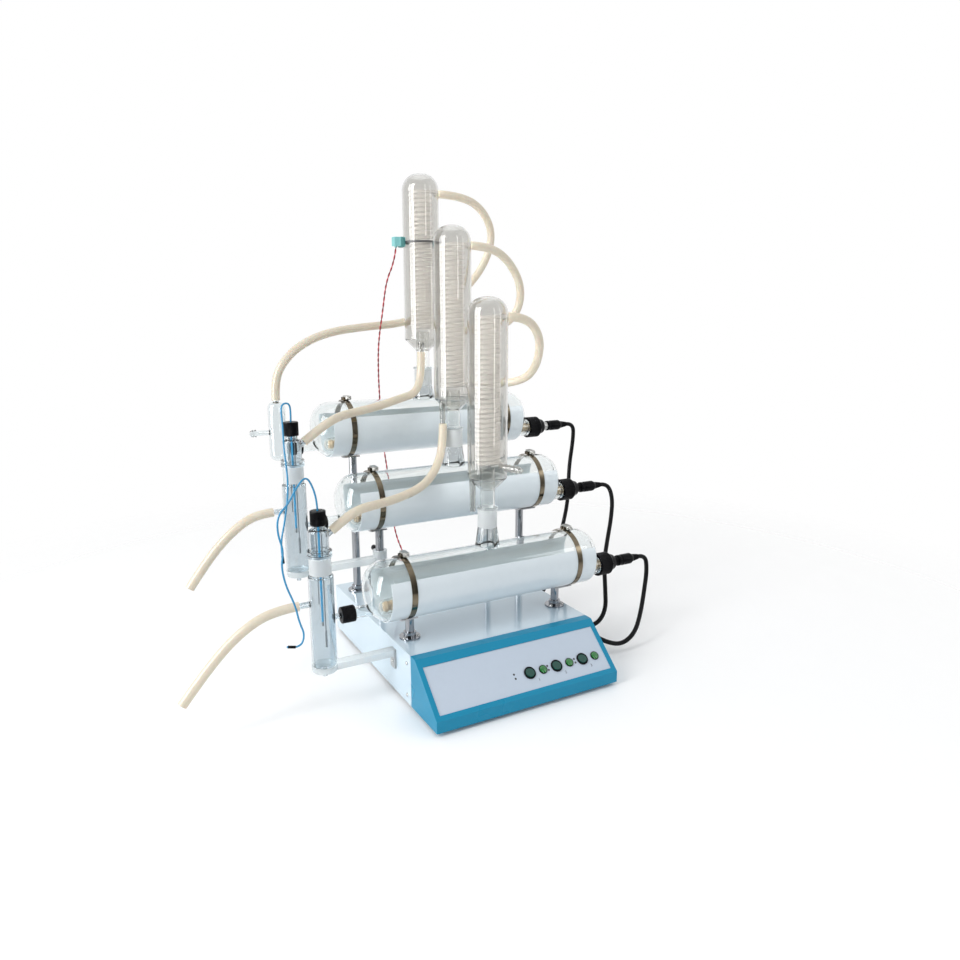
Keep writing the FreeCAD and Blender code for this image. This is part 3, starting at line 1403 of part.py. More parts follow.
def leads():
    """Thin leads: blue ones from the vessel caps and a twin one to the thermostat."""
    radius = size.lead_radius
    x = float(size.vessel_x)
    row = float(ROW["middle"])
    top = float(LEVEL["middle"] + size.head_neck_top)
    tube("lead_vessel_middle", [(x, row, top), (x + 1, row, top + 14), (x - 1, row - 4, top + 31),
                                (x - 15, row - 11, top + 30), (x - 15, row - 16, top + 8),
                                (x - 16, row - 21, top - 30), (x - 14, row - 27, top - 76),
                                (x - 22, row - 28, top - 122), (x - 30, row - 26, top - 156),
                                (x - 27, row - 28, top - 180)], radius, LEAD_SIDES)
    row = float(ROW["front"])
    top = float(LEVEL["front"] + size.head_neck_top)
    tube("lead_vessel_front", [(x, row, top), (x, row, top + 14), (x - 4, row - 1, top + 34),
                               (x - 13, row - 3, top + 51), (x - 27, row - 10, top + 40),
                               (x - 40, row - 17, top + 22), (x - 55, row - 23, top + 11),
                               (x - 57, row - 25, top - 10), (x - 51, row - 26, top - 32),
                               (x - 55, row - 26, top - 50), (x - 51, row - 26, top - 76),
                               (x - 41, row - 26, top - 102), (x - 37, row - 26, top - 126),
                               (x - 31, row - 27, top - 143), (x - 39, row - 30, top - 158),
                               (x - 55, row - 31, top - 152)], radius, LEAD_SIDES)
    strap = float(LEVEL["rear"] + JOINT["rear"] + size.strap_height)
    lead_x = (float(size.joint_x) - float(size.jacket_radius) - float(size.strap_sheet)
              - float(size.thermostat_length) + float(size.terminal_radius) * 2)
    rear = float(ROW["rear"])
    start = strap - float(size.thermostat_height) / 2 - float(size.overrun)
    end_x, end_y = float(size.grommet_x), float(size.grommet_y)
    tube("lead_thermostat", [(lead_x, rear, start), (lead_x - 3, rear, start - 20),
                             (-53, rear + 2, start - 50), (-57, rear + 8, start - 92),
                             (-59, rear + 26, start - 142), (-52, rear + 47, start - 196),
                             (-46, rear + 57, start - 252), (-43, rear + 58, start - 306),
                             (-38, rear + 50, start - 362), (-40, rear + 36, start - 412),
                             (-42, rear + 16, start - 452), (-38, end_y + 10, 127),
                             (end_x, end_y, 104),
                             (end_x, end_y, float(cabinet_top + size.grommet_height))],
         size.twin_lead_radius, LEAD_SIDES)


cabinet()
fascia()
controls()
feet()
posts()
clamps()
for tier_name in ROW:
    boiler(tier_name)
    coupling_ring(tier_name)
    neck_cap(tier_name)
    condenser(tier_name)
    coil(tier_name)
node("reflectors", together(*[reflector(tier_name) for tier_name in ROW]))
heaters()
plugs()
neck_seals()
for tier_name in ("front", "middle"):
    level_vessel(tier_name)
    vessel_head(tier_name)
    vessel_cap(tier_name)
electrodes()
feed_vessel()
strips()
thermostat()
glands()
hoses()
cords()
leads()
doc.recompute()

failed = [thing.Label for thing in doc.Objects
          if "Invalid" in thing.State or "Error" in thing.State]
if failed:
    raise RuntimeError("objects that did not build: %s" % failed)
for thing in nodes:
    if thing.Shape.isNull() or not thing.Shape.isValid():
        raise RuntimeError("bad shape: " + thing.Label)
os.makedirs("parts", exist_ok=True)
for thing in nodes:
    thing.Shape.exportStep(os.path.join("parts", thing.Label + ".step"))
print("nodes", len(nodes))
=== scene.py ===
"""Finishes a three-stage glass water distiller: its glass, hoses, heaters, cabinet and fittings.

Lengths are in metres. X runs to the right along the boilers, Y to the back and Z up.
"""

import math

import bmesh
import bpy
import numpy as np
from mathutils import Matrix, Vector


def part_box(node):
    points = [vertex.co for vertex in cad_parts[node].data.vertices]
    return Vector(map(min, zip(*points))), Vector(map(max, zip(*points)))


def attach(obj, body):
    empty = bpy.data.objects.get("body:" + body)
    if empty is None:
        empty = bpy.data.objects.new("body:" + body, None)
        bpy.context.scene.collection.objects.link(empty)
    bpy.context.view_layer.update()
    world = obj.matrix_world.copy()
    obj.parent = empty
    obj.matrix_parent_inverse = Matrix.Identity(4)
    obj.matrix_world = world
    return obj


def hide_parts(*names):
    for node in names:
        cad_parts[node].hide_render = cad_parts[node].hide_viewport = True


bl_info = {
    "name": "Glass water distiller",
    "version": (1, 0, 0),
    "blender": (4, 5, 0),
    "location": "View3D > Sidebar > Still",
    "description": "Builds and finishes the pieces of a three-stage glass water distiller",
    "category": "Object",
}

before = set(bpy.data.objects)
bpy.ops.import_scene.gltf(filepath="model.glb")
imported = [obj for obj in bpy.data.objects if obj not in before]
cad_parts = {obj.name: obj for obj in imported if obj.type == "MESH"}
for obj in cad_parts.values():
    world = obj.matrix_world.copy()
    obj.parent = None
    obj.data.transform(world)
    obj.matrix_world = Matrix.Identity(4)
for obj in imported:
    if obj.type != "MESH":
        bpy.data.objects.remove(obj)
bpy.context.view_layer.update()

MM = 0.001
TIERS = ("front", "middle", "rear")
VESSEL_TIERS = ("front", "middle")
ROW = {"front": -0.056, "middle": 0.047, "rear": 0.150}
LEVEL = {"front": 0.1512, "middle": 0.2489, "rear": 0.339}
JOINT = {"front": 0.095, "middle": 0.096, "rear": 0.088}
NECK_DROP = 0.023
JOINT_X = 0.005
VESSEL_X = -0.237
VESSEL_RIM = 0.064
ALONG_X = (1, 0, 0)
UPWARDS = (0, 0, 1)
CREASE = math.radians(35)

# Bearings of the cooling water's nipples round each condenser, in degrees from +X.
INLET = {"front": -73.0, "middle": 0.0, "rear": 0.0}

# Control points of the hoses, cords and leads, in metres.
ROUTES = {
    "hose_feed": [
        (0.034, 0.150, 0.686), (0.077, 0.150, 0.686), (0.118, 0.158, 0.669), (0.141, 0.165, 0.632),
        (0.130, 0.177, 0.583), (0.093, 0.190, 0.538), (0.044, 0.196, 0.508), (-0.016, 0.189, 0.493),
        (-0.080, 0.176, 0.489), (-0.143, 0.164, 0.482), (-0.190, 0.155, 0.464),
        (-0.219, 0.151, 0.437), (-0.229, 0.150, 0.411), (-0.229, 0.150, 0.387)],
    "hose_rear_link": [
        (0.034, 0.047, 0.6039), (0.069, 0.047, 0.6039), (0.106, 0.052, 0.582),
        (0.130, 0.058, 0.545), (0.128, 0.070, 0.506), (0.108, 0.098, 0.484),
        (0.077, 0.132, 0.481), (0.060, 0.150, 0.487), (0.034, 0.150, 0.487)],
    "hose_middle_link": [
        (0.034, -0.056, 0.5052), (0.066, -0.056, 0.5052), (0.094, -0.048, 0.478),
        (0.101, -0.034, 0.446), (0.103, -0.012, 0.424), (0.100, 0.009, 0.413),
        (0.086, 0.033, 0.4065), (0.062, 0.047, 0.4049), (0.034, 0.047, 0.4049)],
    "hose_distillate_rear": [
        (-0.006393, 0.131767, 0.451), (-0.006393, 0.131767, 0.417), (-0.024, 0.114, 0.390),
        (-0.054, 0.103, 0.385), (-0.102, 0.090, 0.375), (-0.150, 0.078, 0.370),
        (-0.172, 0.058, 0.368), (-0.196549, 0.047, 0.358289), (-0.220415, 0.047, 0.34095)],
    "hose_distillate_middle": [
        (-0.015448, 0.040356, 0.3519), (-0.015448, 0.040356, 0.3189), (-0.039, 0.017, 0.289),
        (-0.068, 0.000, 0.271), (-0.110, -0.014, 0.263), (-0.152, -0.034, 0.263),
        (-0.175, -0.048, 0.265), (-0.196549, -0.056, 0.260589), (-0.220415, -0.056, 0.24325)],
    "hose_drain_middle": [
        (-0.267, 0.047, 0.2489), (-0.292, 0.047, 0.2489), (-0.325, 0.046, 0.228),
        (-0.356, 0.043, 0.197), (-0.381, 0.039, 0.164)],
    "hose_drain_front": [
        (-0.267, -0.056, 0.1512), (-0.300, -0.056, 0.1512), (-0.340, -0.058, 0.133),
        (-0.379, -0.060, 0.098), (-0.413, -0.062, 0.057)],
    "cord_heater_front": [
        (0.283, -0.056, 0.1282), (0.299, -0.056, 0.1282), (0.300, -0.060, 0.103),
        (0.289, -0.068, 0.072), (0.266, -0.088, 0.046), (0.241, -0.105, 0.024),
        (0.214, -0.107, 0.012), (0.190, -0.098, 0.018), (0.171, -0.079, 0.031),
        (0.152, -0.075, 0.034)],
    "cord_heater_middle": [
        (0.283, 0.047, 0.2259), (0.299, 0.047, 0.2259), (0.303, 0.037, 0.203),
        (0.296, 0.030, 0.170), (0.274, 0.011, 0.139), (0.252, -0.010, 0.110),
        (0.237, -0.034, 0.076), (0.224, -0.054, 0.046), (0.200, -0.058, 0.026),
        (0.176, -0.038, 0.029), (0.152, -0.030, 0.034)],
    "cord_heater_rear": [
        (0.283, 0.150, 0.316), (0.299, 0.150, 0.316), (0.300, 0.150, 0.288),
        (0.292, 0.150, 0.236), (0.286, 0.141, 0.182), (0.258, 0.116, 0.140),
        (0.224, 0.092, 0.097), (0.199, 0.074, 0.060), (0.178, 0.063, 0.041),
        (0.152, 0.060, 0.034)],
    "lead_vessel_middle": [
        (-0.237, 0.047, 0.3644), (-0.236, 0.047, 0.3784), (-0.238, 0.043, 0.3954),
        (-0.252, 0.036, 0.3944), (-0.252, 0.031, 0.3724), (-0.253, 0.026, 0.3344),
        (-0.251, 0.020, 0.2884), (-0.259, 0.019, 0.2424), (-0.267, 0.021, 0.2084),
        (-0.264, 0.019, 0.1844)],
    "lead_vessel_front": [
        (-0.237, -0.056, 0.2667), (-0.237, -0.056, 0.2807), (-0.241, -0.057, 0.3007),
        (-0.250, -0.059, 0.3177), (-0.264, -0.066, 0.3067), (-0.277, -0.073, 0.2887),
        (-0.292, -0.079, 0.2777), (-0.294, -0.081, 0.2567), (-0.288, -0.082, 0.2347),
        (-0.292, -0.082, 0.2167), (-0.288, -0.082, 0.1907), (-0.278, -0.082, 0.1647),
        (-0.274, -0.082, 0.1407), (-0.268, -0.083, 0.1237), (-0.276, -0.086, 0.1087),
        (-0.292, -0.087, 0.1147)],
    "lead_thermostat": [
        (-0.0365, 0.150, 0.6055), (-0.0395, 0.150, 0.5855), (-0.053, 0.152, 0.5555),
        (-0.057, 0.158, 0.5135), (-0.059, 0.176, 0.4635), (-0.052, 0.197, 0.4095),
        (-0.046, 0.207, 0.3535), (-0.043, 0.208, 0.2995), (-0.038, 0.200, 0.2435),
        (-0.040, 0.186, 0.1935), (-0.042, 0.166, 0.1535), (-0.038, 0.144, 0.127),
        (-0.036, 0.134, 0.104), (-0.036, 0.134, 0.080)],
}


def socket_rim(tier):
    """The height of the rim of a boiler's ground socket."""
    return LEVEL[tier] + JOINT[tier]


def neck_centre(tier):
    """The middle of a boiler's neck axis, which runs along X."""
    return (0.0, ROW[tier], LEVEL[tier] - NECK_DROP)


# Settings

def length(name, description, default):
    """A length property in metres."""
    return bpy.props.FloatProperty(name=name, description=description, default=default, min=0.0,
                                   precision=5, subtype="DISTANCE", unit="LENGTH")


def amount_of(name, description, default, unit="NONE"):
    """A number that can't be less than nought."""
    return bpy.props.FloatProperty(name=name, description=description, default=default, min=0.0,
                                   unit=unit)


def share(name, description, default):
    """A factor between nought and one."""
    return bpy.props.FloatProperty(name=name, description=description, default=default,
                                   min=0.0, max=1.0, subtype="FACTOR")


def colour(name, description, default):
    """A colour property in linear values."""
    return bpy.props.FloatVectorProperty(name=name, description=description, default=default,
                                         size=3, min=0.0, max=1.0, subtype="COLOR")


def count(name, description, default):
    """A whole number property."""
    return bpy.props.IntProperty(name=name, description=description, default=default, min=1)


class StageSettings(bpy.types.PropertyGroup):
    """Light, floor and camera."""

    camera_height: length("Camera height", "Height of the lens above the bench", 0.5129)
    lens: bpy.props.FloatProperty(name="Focal length", description="Focal length of the lens in mm",
                                  default=28.377, min=1.0)
    room_light: amount_of("Room light", "Strength of the soft light from all sides", 0.88)
    key_power: amount_of("Key power", "Power of the tall soft lamp on the left", 17.0, "POWER")
    fill_power: amount_of("Fill power", "Power of the tall soft lamp on the right", 3.5, "POWER")
    card_power: amount_of("Card power", "Power of the broad lamp that only shows as a highlight",
                          62.0, "POWER")
    top_power: amount_of("Top power", "Power of the soft lamp above", 4.0, "POWER")
    floor_reach: length("Floor reach", "How far out the bench top has faded into the white", 1.2)
    floor_colour: colour("Floor colour", "Colour of the bench top", (0.96, 0.96, 0.96))


class GlassSettings(bpy.types.PropertyGroup):
    """Glass walls, coils and their frosted ground joints."""

    tint: colour("Tint", "Colour that the condensers' glass gives to light", (0.78, 0.77, 0.75))
    boiler_tint: colour("Boiler tint", "Colour that the boilers' glass gives to light",
                        (0.965, 0.98, 0.98))
    vessel_tint: colour("Vessel tint", "Colour that the vessels' glass gives to light",
                        (0.74, 0.79, 0.82))
    depth_tint: colour("Depth tint", "Colour that thick glass takes on", (0.70, 0.77, 0.78))
    shade: share("Shade", "How much of the light each surface keeps back in its shadow", 0.02)
    density: amount_of("Density", "How fast light fades along its way through the wall, per metre",
                       30.0)
    frost: share("Frost", "Roughness of the ground joints", 0.42)
    coil_turns: count("Coil turns", "Turns of each cooling coil", 31)
    coil_radius: length("Coil radius", "Radius of the coil's centre line", 0.0158)
    coil_tube: length("Coil tube", "Radius of the coil's glass tube", 0.0028)
    coil_wall: length("Coil wall", "Wall of the coil's glass tube", 0.0008)


class HoseSettings(bpy.types.PropertyGroup):
    """Hoses, heater cords and thin leads."""

    hose_colour: colour("Hose colour", "Colour of the silicone hoses", (0.74, 0.66, 0.53))
    hose_radius: length("Hose radius", "Outer radius of a hose", 0.006)
    cord_radius: length("Cord radius", "Outer radius of a heater cord", 0.0035)
    lead_radius: length("Lead radius", "Outer radius of a vessel lead", 0.0012)
    twin_radius: length("Twin lead radius", "Radius round both strands of the twin lead", 0.0014)
    twist: length("Twist", "Length of one full twist of the twin lead", 0.018)
    hose_bore: length("Hose bore", "Radius of a hose's bore", 0.00405)
    lead_colour: colour("Lead colour", "Colour of the vessel leads", (0.02, 0.29, 0.53))


class CapSettings(bpy.types.PropertyGroup):
    """Screw caps, coupling rings and plugs."""

    ribs: count("Ribs", "Grip ribs round a screw cap", 36)
    ring_ribs: count("Ring ribs", "Grip ribs round a coupling ring", 44)
    rib_depth: length("Rib depth", "How deep the grip grooves are", 0.0006)
    black: colour("Black", "Colour of the black mouldings", (0.002, 0.002, 0.003))


class CabinetSettings(bpy.types.PropertyGroup):
    """Painted cabinet, blue front and controls."""

    paint: colour("Paint", "Colour of the cabinet's paint", (0.55, 0.665, 0.745))
    front: colour("Front", "Colour of the moulded front", (0.001, 0.23, 0.39))
    panel: colour("Panel", "Colour of the control panel's film", (0.50, 0.57, 0.66))
    lens: colour("Lens", "Colour of the indicator lamps", (0.012, 0.18, 0.03))
    rocker: colour("Rocker", "Colour of the rocker switches", (0.003, 0.06, 0.045))
    edge: length("Edge", "Rounding of the sheet's bends", 0.0016)


# Surfaces

def rounded(corners, steps=5):
    """A profile whose corners (radius, height, round) are softened.

    At each corner P with a round r and a half turn h, the arc runs from P - d.u to P + d.v,
    where u and v are the headings in and out, d = r tan(h), and each arc point is
    centre + r (cos a, sin a), stepped evenly in a.
    """
    flat = np.array([corner[:2] for corner in corners], float)
    points = []
    for index, corner in enumerate(corners):
        if len(corner) < 3 or not corner[2]:
            points.append(flat[index][None, :])
            continue
        here = flat[index]
        u = here - flat[index - 1]
        v = flat[(index + 1) % len(flat)] - here
        u, v = u / np.linalg.norm(u), v / np.linalg.norm(v)
        turn = math.atan2(u[0] * v[1] - u[1] * v[0], float(u @ v))
        cut = corner[2] * math.tan(abs(turn) / 2)
        side = np.array([-u[1], u[0]]) * math.copysign(1, turn)
        centre = here - u * cut + side * corner[2]
        start = here - u * cut - centre
        angles = np.linspace(0, turn, steps + 1)
        cosine, sine = np.cos(angles), np.sin(angles)
        arc = np.stack([start[0] * cosine - start[1] * sine,
                        start[0] * sine + start[1] * cosine], 1)
        points.append(centre + arc)
    return np.concatenate(points)


def axes(heading):
    """Two unit vectors square to a heading, which with it make a right-handed set."""
    w = np.array(heading, float)
    w = w / np.linalg.norm(w)
    guide = np.array([0.0, 0.0, 1.0]) if abs(w[2]) < 0.9 else np.array([1.0, 0.0, 0.0])
    u = np.cross(guide, w)
    u = u / np.linalg.norm(u)
    return u, np.cross(w, u), w


def lathe(profile, origin, heading, segments=64, ribs=None):
    """A closed profile turned about an axis: origin + r cos(a) U + r sin(a) V + h W.

    ribs(radius, height, angle) may return another radius, for grips and flats.
    """
    profile = np.array(profile, float)
    angle = np.linspace(0, 2 * math.pi, segments, endpoint=False)
    r = np.repeat(profile[:, :1], segments, 1)
    h = np.repeat(profile[:, 1:2], segments, 1)
    a = np.repeat(angle[None, :], len(profile), 0)
    if ribs is not None:
        r = ribs(r, h, a)
    u, v, w = axes(heading)
    return (np.array(origin, float) + r[..., None] * (np.cos(a)[..., None] * u
            + np.sin(a)[..., None] * v) + h[..., None] * w)


def carried(centres, normals, binormals, radius, sides, phase=0.0):
    """A round section carried along a path: C + r cos(a) N + r sin(a) B."""
    angle = np.linspace(0, 2 * math.pi, sides, endpoint=False) + phase
    return (centres[:, None, :] + radius * (np.cos(angle)[None, :, None] * normals[:, None, :]
            + np.sin(angle)[None, :, None] * binormals[:, None, :]))


def mesh_from_grids(name, grids, smooth_angle=CREASE):
    """One mesh from grids of points, each closed round its second direction.

    A grid is (points, closed, capped): closed joins its last row to its first, and
    capped fills its two open ends with a fan round the row's middle. Quads run
    (i, j), (i, j+1), (i+1, j+1), (i+1, j); a signed volume turns them outwards.
    """
    vertices, faces, start = [], [], 0
    for points, closed, capped in grids:
        rows, columns = points.shape[:2]
        number = np.arange(rows * columns).reshape(rows, columns) + start
        down = np.roll(number, -1, 0) if closed else number[1:]
        here = number if closed else number[:-1]
        right_here, right_down = np.roll(here, -1, 1), np.roll(down, -1, 1)
        quads = np.stack([here, right_here, right_down, down], -1).reshape(-1, 4)
        faces += quads.tolist()
        vertices.append(points.reshape(-1, 3))
        start += rows * columns
        if capped:
            middles = np.stack([points[0].mean(0), points[-1].mean(0)])
            vertices.append(middles)
            first, last = number[0], number[-1]
            fan = np.stack([np.roll(first, -1), first, np.full(columns, start)], 1)
            faces += fan.tolist()
            fan = np.stack([last, np.roll(last, -1), np.full(columns, start + 1)], 1)
            faces += fan.tolist()
            start += 2
    mesh = bpy.data.meshes.new(name)
    mesh.from_pydata(np.concatenate(vertices).tolist(), [], faces)
    body = bmesh.new()
    body.from_mesh(mesh)
    bmesh.ops.remove_doubles(body, verts=body.verts, dist=1e-7)
    bmesh.ops.dissolve_degenerate(body, edges=body.edges, dist=1e-7)
    bmesh.ops.recalc_face_normals(body, faces=body.faces)
    body.to_mesh(mesh)
    body.free()
    smoothed(mesh, smooth_angle)
    return mesh


def smoothed(mesh, angle):
    """Smooth shading, with edges sharper than the angle left crisp."""
    mesh.shade_smooth()
    mesh.set_sharp_from_angle(angle=angle)


def tube_wall(centres, normals, binormals, outer, inner, sides):
    """A tube with a bore: the outer skin, then the bore back, closed into one wall."""
    skin = carried(centres, normals, binormals, outer, sides)
    bore = carried(centres[::-1], normals[::-1], binormals[::-1], inner, sides)
    return np.concatenate([skin, bore])


def pad(centre, halves, power=5.0, rows=20, columns=40):
    """A rounded block: x = a c(v) c(u), y = b c(v) s(u), z = h s(v) about its centre.

    c and s are the cosine and sine with their size raised to 2 / power and their sign kept,
    so a larger power gives squarer sides. v runs from -90 to 90 degrees and u all round.
    """
    def kept(value):
        return np.sign(value) * np.abs(value) ** (2.0 / power)

    v = np.linspace(-math.pi / 2, math.pi / 2, rows)[:, None]
    u = np.linspace(0, 2 * math.pi, columns, endpoint=False)[None, :]
    ring = kept(np.cos(v)).clip(0)
    points = np.stack([halves[0] * ring * kept(np.cos(u)), halves[1] * ring * kept(np.sin(u)),
                       halves[2] * kept(np.sin(v)) * np.ones_like(u)], -1)
    return points + np.array(centre, float)


def piece(name, mesh, material, body="stand", stands_for=()):
    """Puts a mesh in the scene as a piece that rides on a body."""
    thing = bpy.data.objects.new(name, mesh)
    bpy.context.scene.collection.objects.link(thing)
    mesh.materials.clear()
    mesh.materials.append(material)
    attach(thing, body)
    if stands_for:
        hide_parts(*stands_for)
    return thing


def grid_piece(name, grids, material, stands_for=(), body="stand", angle=CREASE):
    """A piece whose mesh, of the same name, is made from grids of points."""
    return piece(name, mesh_from_grids(name, grids, angle), material, body, stands_for)


def merged_copy(node, name, material, body="stand", edge=0.0, segments=2):
    """A welded copy of a solid with its bends rounded by a live Bevel."""
    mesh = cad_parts[node].data.copy()
    mesh.name = name
    solid = bmesh.new()
    solid.from_mesh(mesh)
    bmesh.ops.remove_doubles(solid, verts=solid.verts, dist=1e-6)
    bmesh.ops.dissolve_limit(solid, angle_limit=math.radians(1), verts=solid.verts,
                             edges=solid.edges)
    solid.to_mesh(mesh)
    solid.free()
    if "custom_normal" in mesh.attributes:
        mesh.attributes.remove(mesh.attributes["custom_normal"])
    smoothed(mesh, CREASE)
    thing = piece(name, mesh, material, body, (node,))
    if edge:
        bevel = thing.modifiers.new("rounded bends", "BEVEL")
        bevel.width = edge
        bevel.segments = segments
        bevel.limit_method = "ANGLE"
        bevel.angle_limit = math.radians(50)
        bevel.harden_normals = True
    return thing


def dress(node, material):
    """Gives a carried-over solid its finish."""
    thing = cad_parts[node]
    for place in thing.material_slots:
        place.material = material


# Finishes

def feed(tree, socket, value):
    """Joins an input to a socket, or sets it to a plain value."""
    if isinstance(value, bpy.types.NodeSocket):
        tree.links.new(value, socket)
    else:
        socket.default_value = value


def add_node(tree, kind, **inputs):
    """A shader node with its inputs set to values or joined to sockets."""
    made = tree.nodes.new(kind)
    for name, value in inputs.items():
        feed(tree, made.inputs[name.replace("_", " ")], value)
    return made


def arithmetic(tree, operation, first, second=0.0, clamp=False):
    """A Math node's result."""
    made = tree.nodes.new("ShaderNodeMath")
    made.operation = operation
    made.use_clamp = clamp
    for socket, value in zip(made.inputs, (first, second)):
        feed(tree, socket, value)
    return made.outputs[0]


def mixed(tree, factor, first, second):
    """A colour between two, by a factor."""
    made = tree.nodes.new("ShaderNodeMix")
    made.data_type = "RGBA"
    for index, value in ((0, factor), (6, first), (7, second)):
        feed(tree, made.inputs[index], value)
    return made.outputs[2]


def new_group(name, inputs, outputs):
    """An empty node group with named sockets: (name, kind, default)."""
    group = bpy.data.node_groups.new(name, "ShaderNodeTree")
    for title, kind, default in inputs:
        socket = group.interface.new_socket(title, in_out="INPUT", socket_type=kind)
        if default is not None:
            socket.default_value = default
    for title, kind in outputs:
        group.interface.new_socket(title, in_out="OUTPUT", socket_type=kind)
    return group, group.nodes.new("NodeGroupInput"), group.nodes.new("NodeGroupOutput")


def mottle_group():
    """Slow and fine noise that varies a colour and a roughness."""
    group, given, result = new_group("Mottle", [
        ("Color", "NodeSocketColor", (0.5, 0.5, 0.5, 1)),
        ("Shade", "NodeSocketColor", (0, 0, 0, 1)),
        ("Amount", "NodeSocketFloat", 0.2), ("Scale", "NodeSocketFloat", 60.0),
        ("Smoothest", "NodeSocketFloat", 0.3), ("Roughest", "NodeSocketFloat", 0.4)],
        [("Color", "NodeSocketColor"), ("Roughness", "NodeSocketFloat")])
    place = group.nodes.new("ShaderNodeTexCoord").outputs["Object"]
    slow = add_node(group, "ShaderNodeTexNoise", Vector=place, Scale=given.outputs["Scale"],
                    Detail=4.0, Roughness=0.6)
    quick = arithmetic(group, "MULTIPLY", given.outputs["Scale"], 7.0)
    fine = add_node(group, "ShaderNodeTexNoise", Vector=place, Scale=quick, Detail=2.0)
    level = arithmetic(group, "MULTIPLY", slow.outputs["Fac"], fine.outputs["Fac"])
    mask = arithmetic(group, "MULTIPLY", level, 2.4, clamp=True)
    factor = arithmetic(group, "MULTIPLY", mask, given.outputs["Amount"])
    tone = mixed(group, factor, given.outputs["Color"], given.outputs["Shade"])
    span = arithmetic(group, "SUBTRACT", given.outputs["Roughest"], given.outputs["Smoothest"])
    rough = arithmetic(group, "ADD", arithmetic(group, "MULTIPLY", span, slow.outputs["Fac"]),
                       given.outputs["Smoothest"])
    group.links.new(tone, result.inputs["Color"])
    group.links.new(rough, result.inputs["Roughness"])
    return group


def grain_group():
    """The height of a fine moulded or sprayed grain."""
    group, given, result = new_group("Grain", [("Scale", "NodeSocketFloat", 900.0),
                                               ("Waviness", "NodeSocketFloat", 0.3)],
                                     [("Height", "NodeSocketFloat")])
    place = group.nodes.new("ShaderNodeTexCoord").outputs["Object"]
    fine = add_node(group, "ShaderNodeTexNoise", Vector=place, Scale=given.outputs["Scale"],
                    Detail=2.0)
    wide = arithmetic(group, "MULTIPLY", given.outputs["Scale"], 0.08)
    slow = add_node(group, "ShaderNodeTexNoise", Vector=place, Scale=wide, Detail=1.0)
    wave = arithmetic(group, "MULTIPLY", slow.outputs["Fac"], given.outputs["Waviness"])
    group.links.new(arithmetic(group, "ADD", fine.outputs["Fac"], wave), result.inputs["Height"])
    return group


def band_group():
    """A mask that is one inside a short upright cylinder, as on a ground joint."""
    group, given, result = new_group("Ground band", [
        ("Centre", "NodeSocketVector", None), ("Radius", "NodeSocketFloat", 0.016),
        ("Low", "NodeSocketFloat", 0.0), ("High", "NodeSocketFloat", 0.1)],
        [("Mask", "NodeSocketFloat")])
    place = group.nodes.new("ShaderNodeTexCoord").outputs["Object"]
    away = group.nodes.new("ShaderNodeVectorMath")
    away.operation = "SUBTRACT"
    group.links.new(place, away.inputs[0])
    group.links.new(given.outputs["Centre"], away.inputs[1])
    parts = add_node(group, "ShaderNodeSeparateXYZ", Vector=away.outputs[0])
    across = arithmetic(group, "SQRT", arithmetic(
        group, "ADD", arithmetic(group, "POWER", parts.outputs["X"], 2.0),
        arithmetic(group, "POWER", parts.outputs["Y"], 2.0)))
    inside = arithmetic(group, "LESS_THAN", across, given.outputs["Radius"])
    above = arithmetic(group, "GREATER_THAN", parts.outputs["Z"], given.outputs["Low"])
    below = arithmetic(group, "LESS_THAN", parts.outputs["Z"], given.outputs["High"])
    mask = arithmetic(group, "MULTIPLY", inside, arithmetic(group, "MULTIPLY", above, below))
    group.links.new(mask, result.inputs["Mask"])
    return group


GROUPS = {}


def effect(tree, kind, **values):
    """One of the shared effects, placed in a material with its own values."""
    makers = {"Mottle": mottle_group, "Grain": grain_group, "Ground band": band_group}
    if kind not in GROUPS:
        GROUPS[kind] = makers[kind]()
    made = tree.nodes.new("ShaderNodeGroup")
    made.node_tree = GROUPS[kind]
    for name, value in values.items():
        feed(tree, made.inputs[name], value)
    return made


def opaque(colour_value):
    """A colour with full alpha."""
    return (*tuple(colour_value)[:3], 1.0)


def finish_of(name, tone, shade, amount=0.25, scale=60.0, smooth=0.3, rough=0.42, grain=900.0,
              depth=0.02, metallic=0.0, coat=0.0, **extra):
    """A material of mottled colour, uneven gloss and fine grain."""
    if name in bpy.data.materials:
        return bpy.data.materials[name]
    material = bpy.data.materials.new(name)
    material.use_nodes = True
    tree = material.node_tree
    shader = tree.nodes["Principled BSDF"]
    mottle = effect(tree, "Mottle", Color=opaque(tone), Shade=opaque(shade), Amount=amount,
                    Scale=scale, Smoothest=smooth, Roughest=rough)
    height = effect(tree, "Grain", Scale=grain)
    bump = add_node(tree, "ShaderNodeBump", Strength=1.0, Distance=depth * MM,
                    Height=height.outputs["Height"])
    tree.links.new(mottle.outputs["Color"], shader.inputs["Base Color"])
    tree.links.new(mottle.outputs["Roughness"], shader.inputs["Roughness"])
    tree.links.new(bump.outputs["Normal"], shader.inputs["Normal"])
    shader.inputs["Metallic"].default_value = metallic
    shader.inputs["Coat Weight"].default_value = coat
    for title, value in extra.items():
        shader.inputs[title.replace("_", " ")].default_value = value
    return material


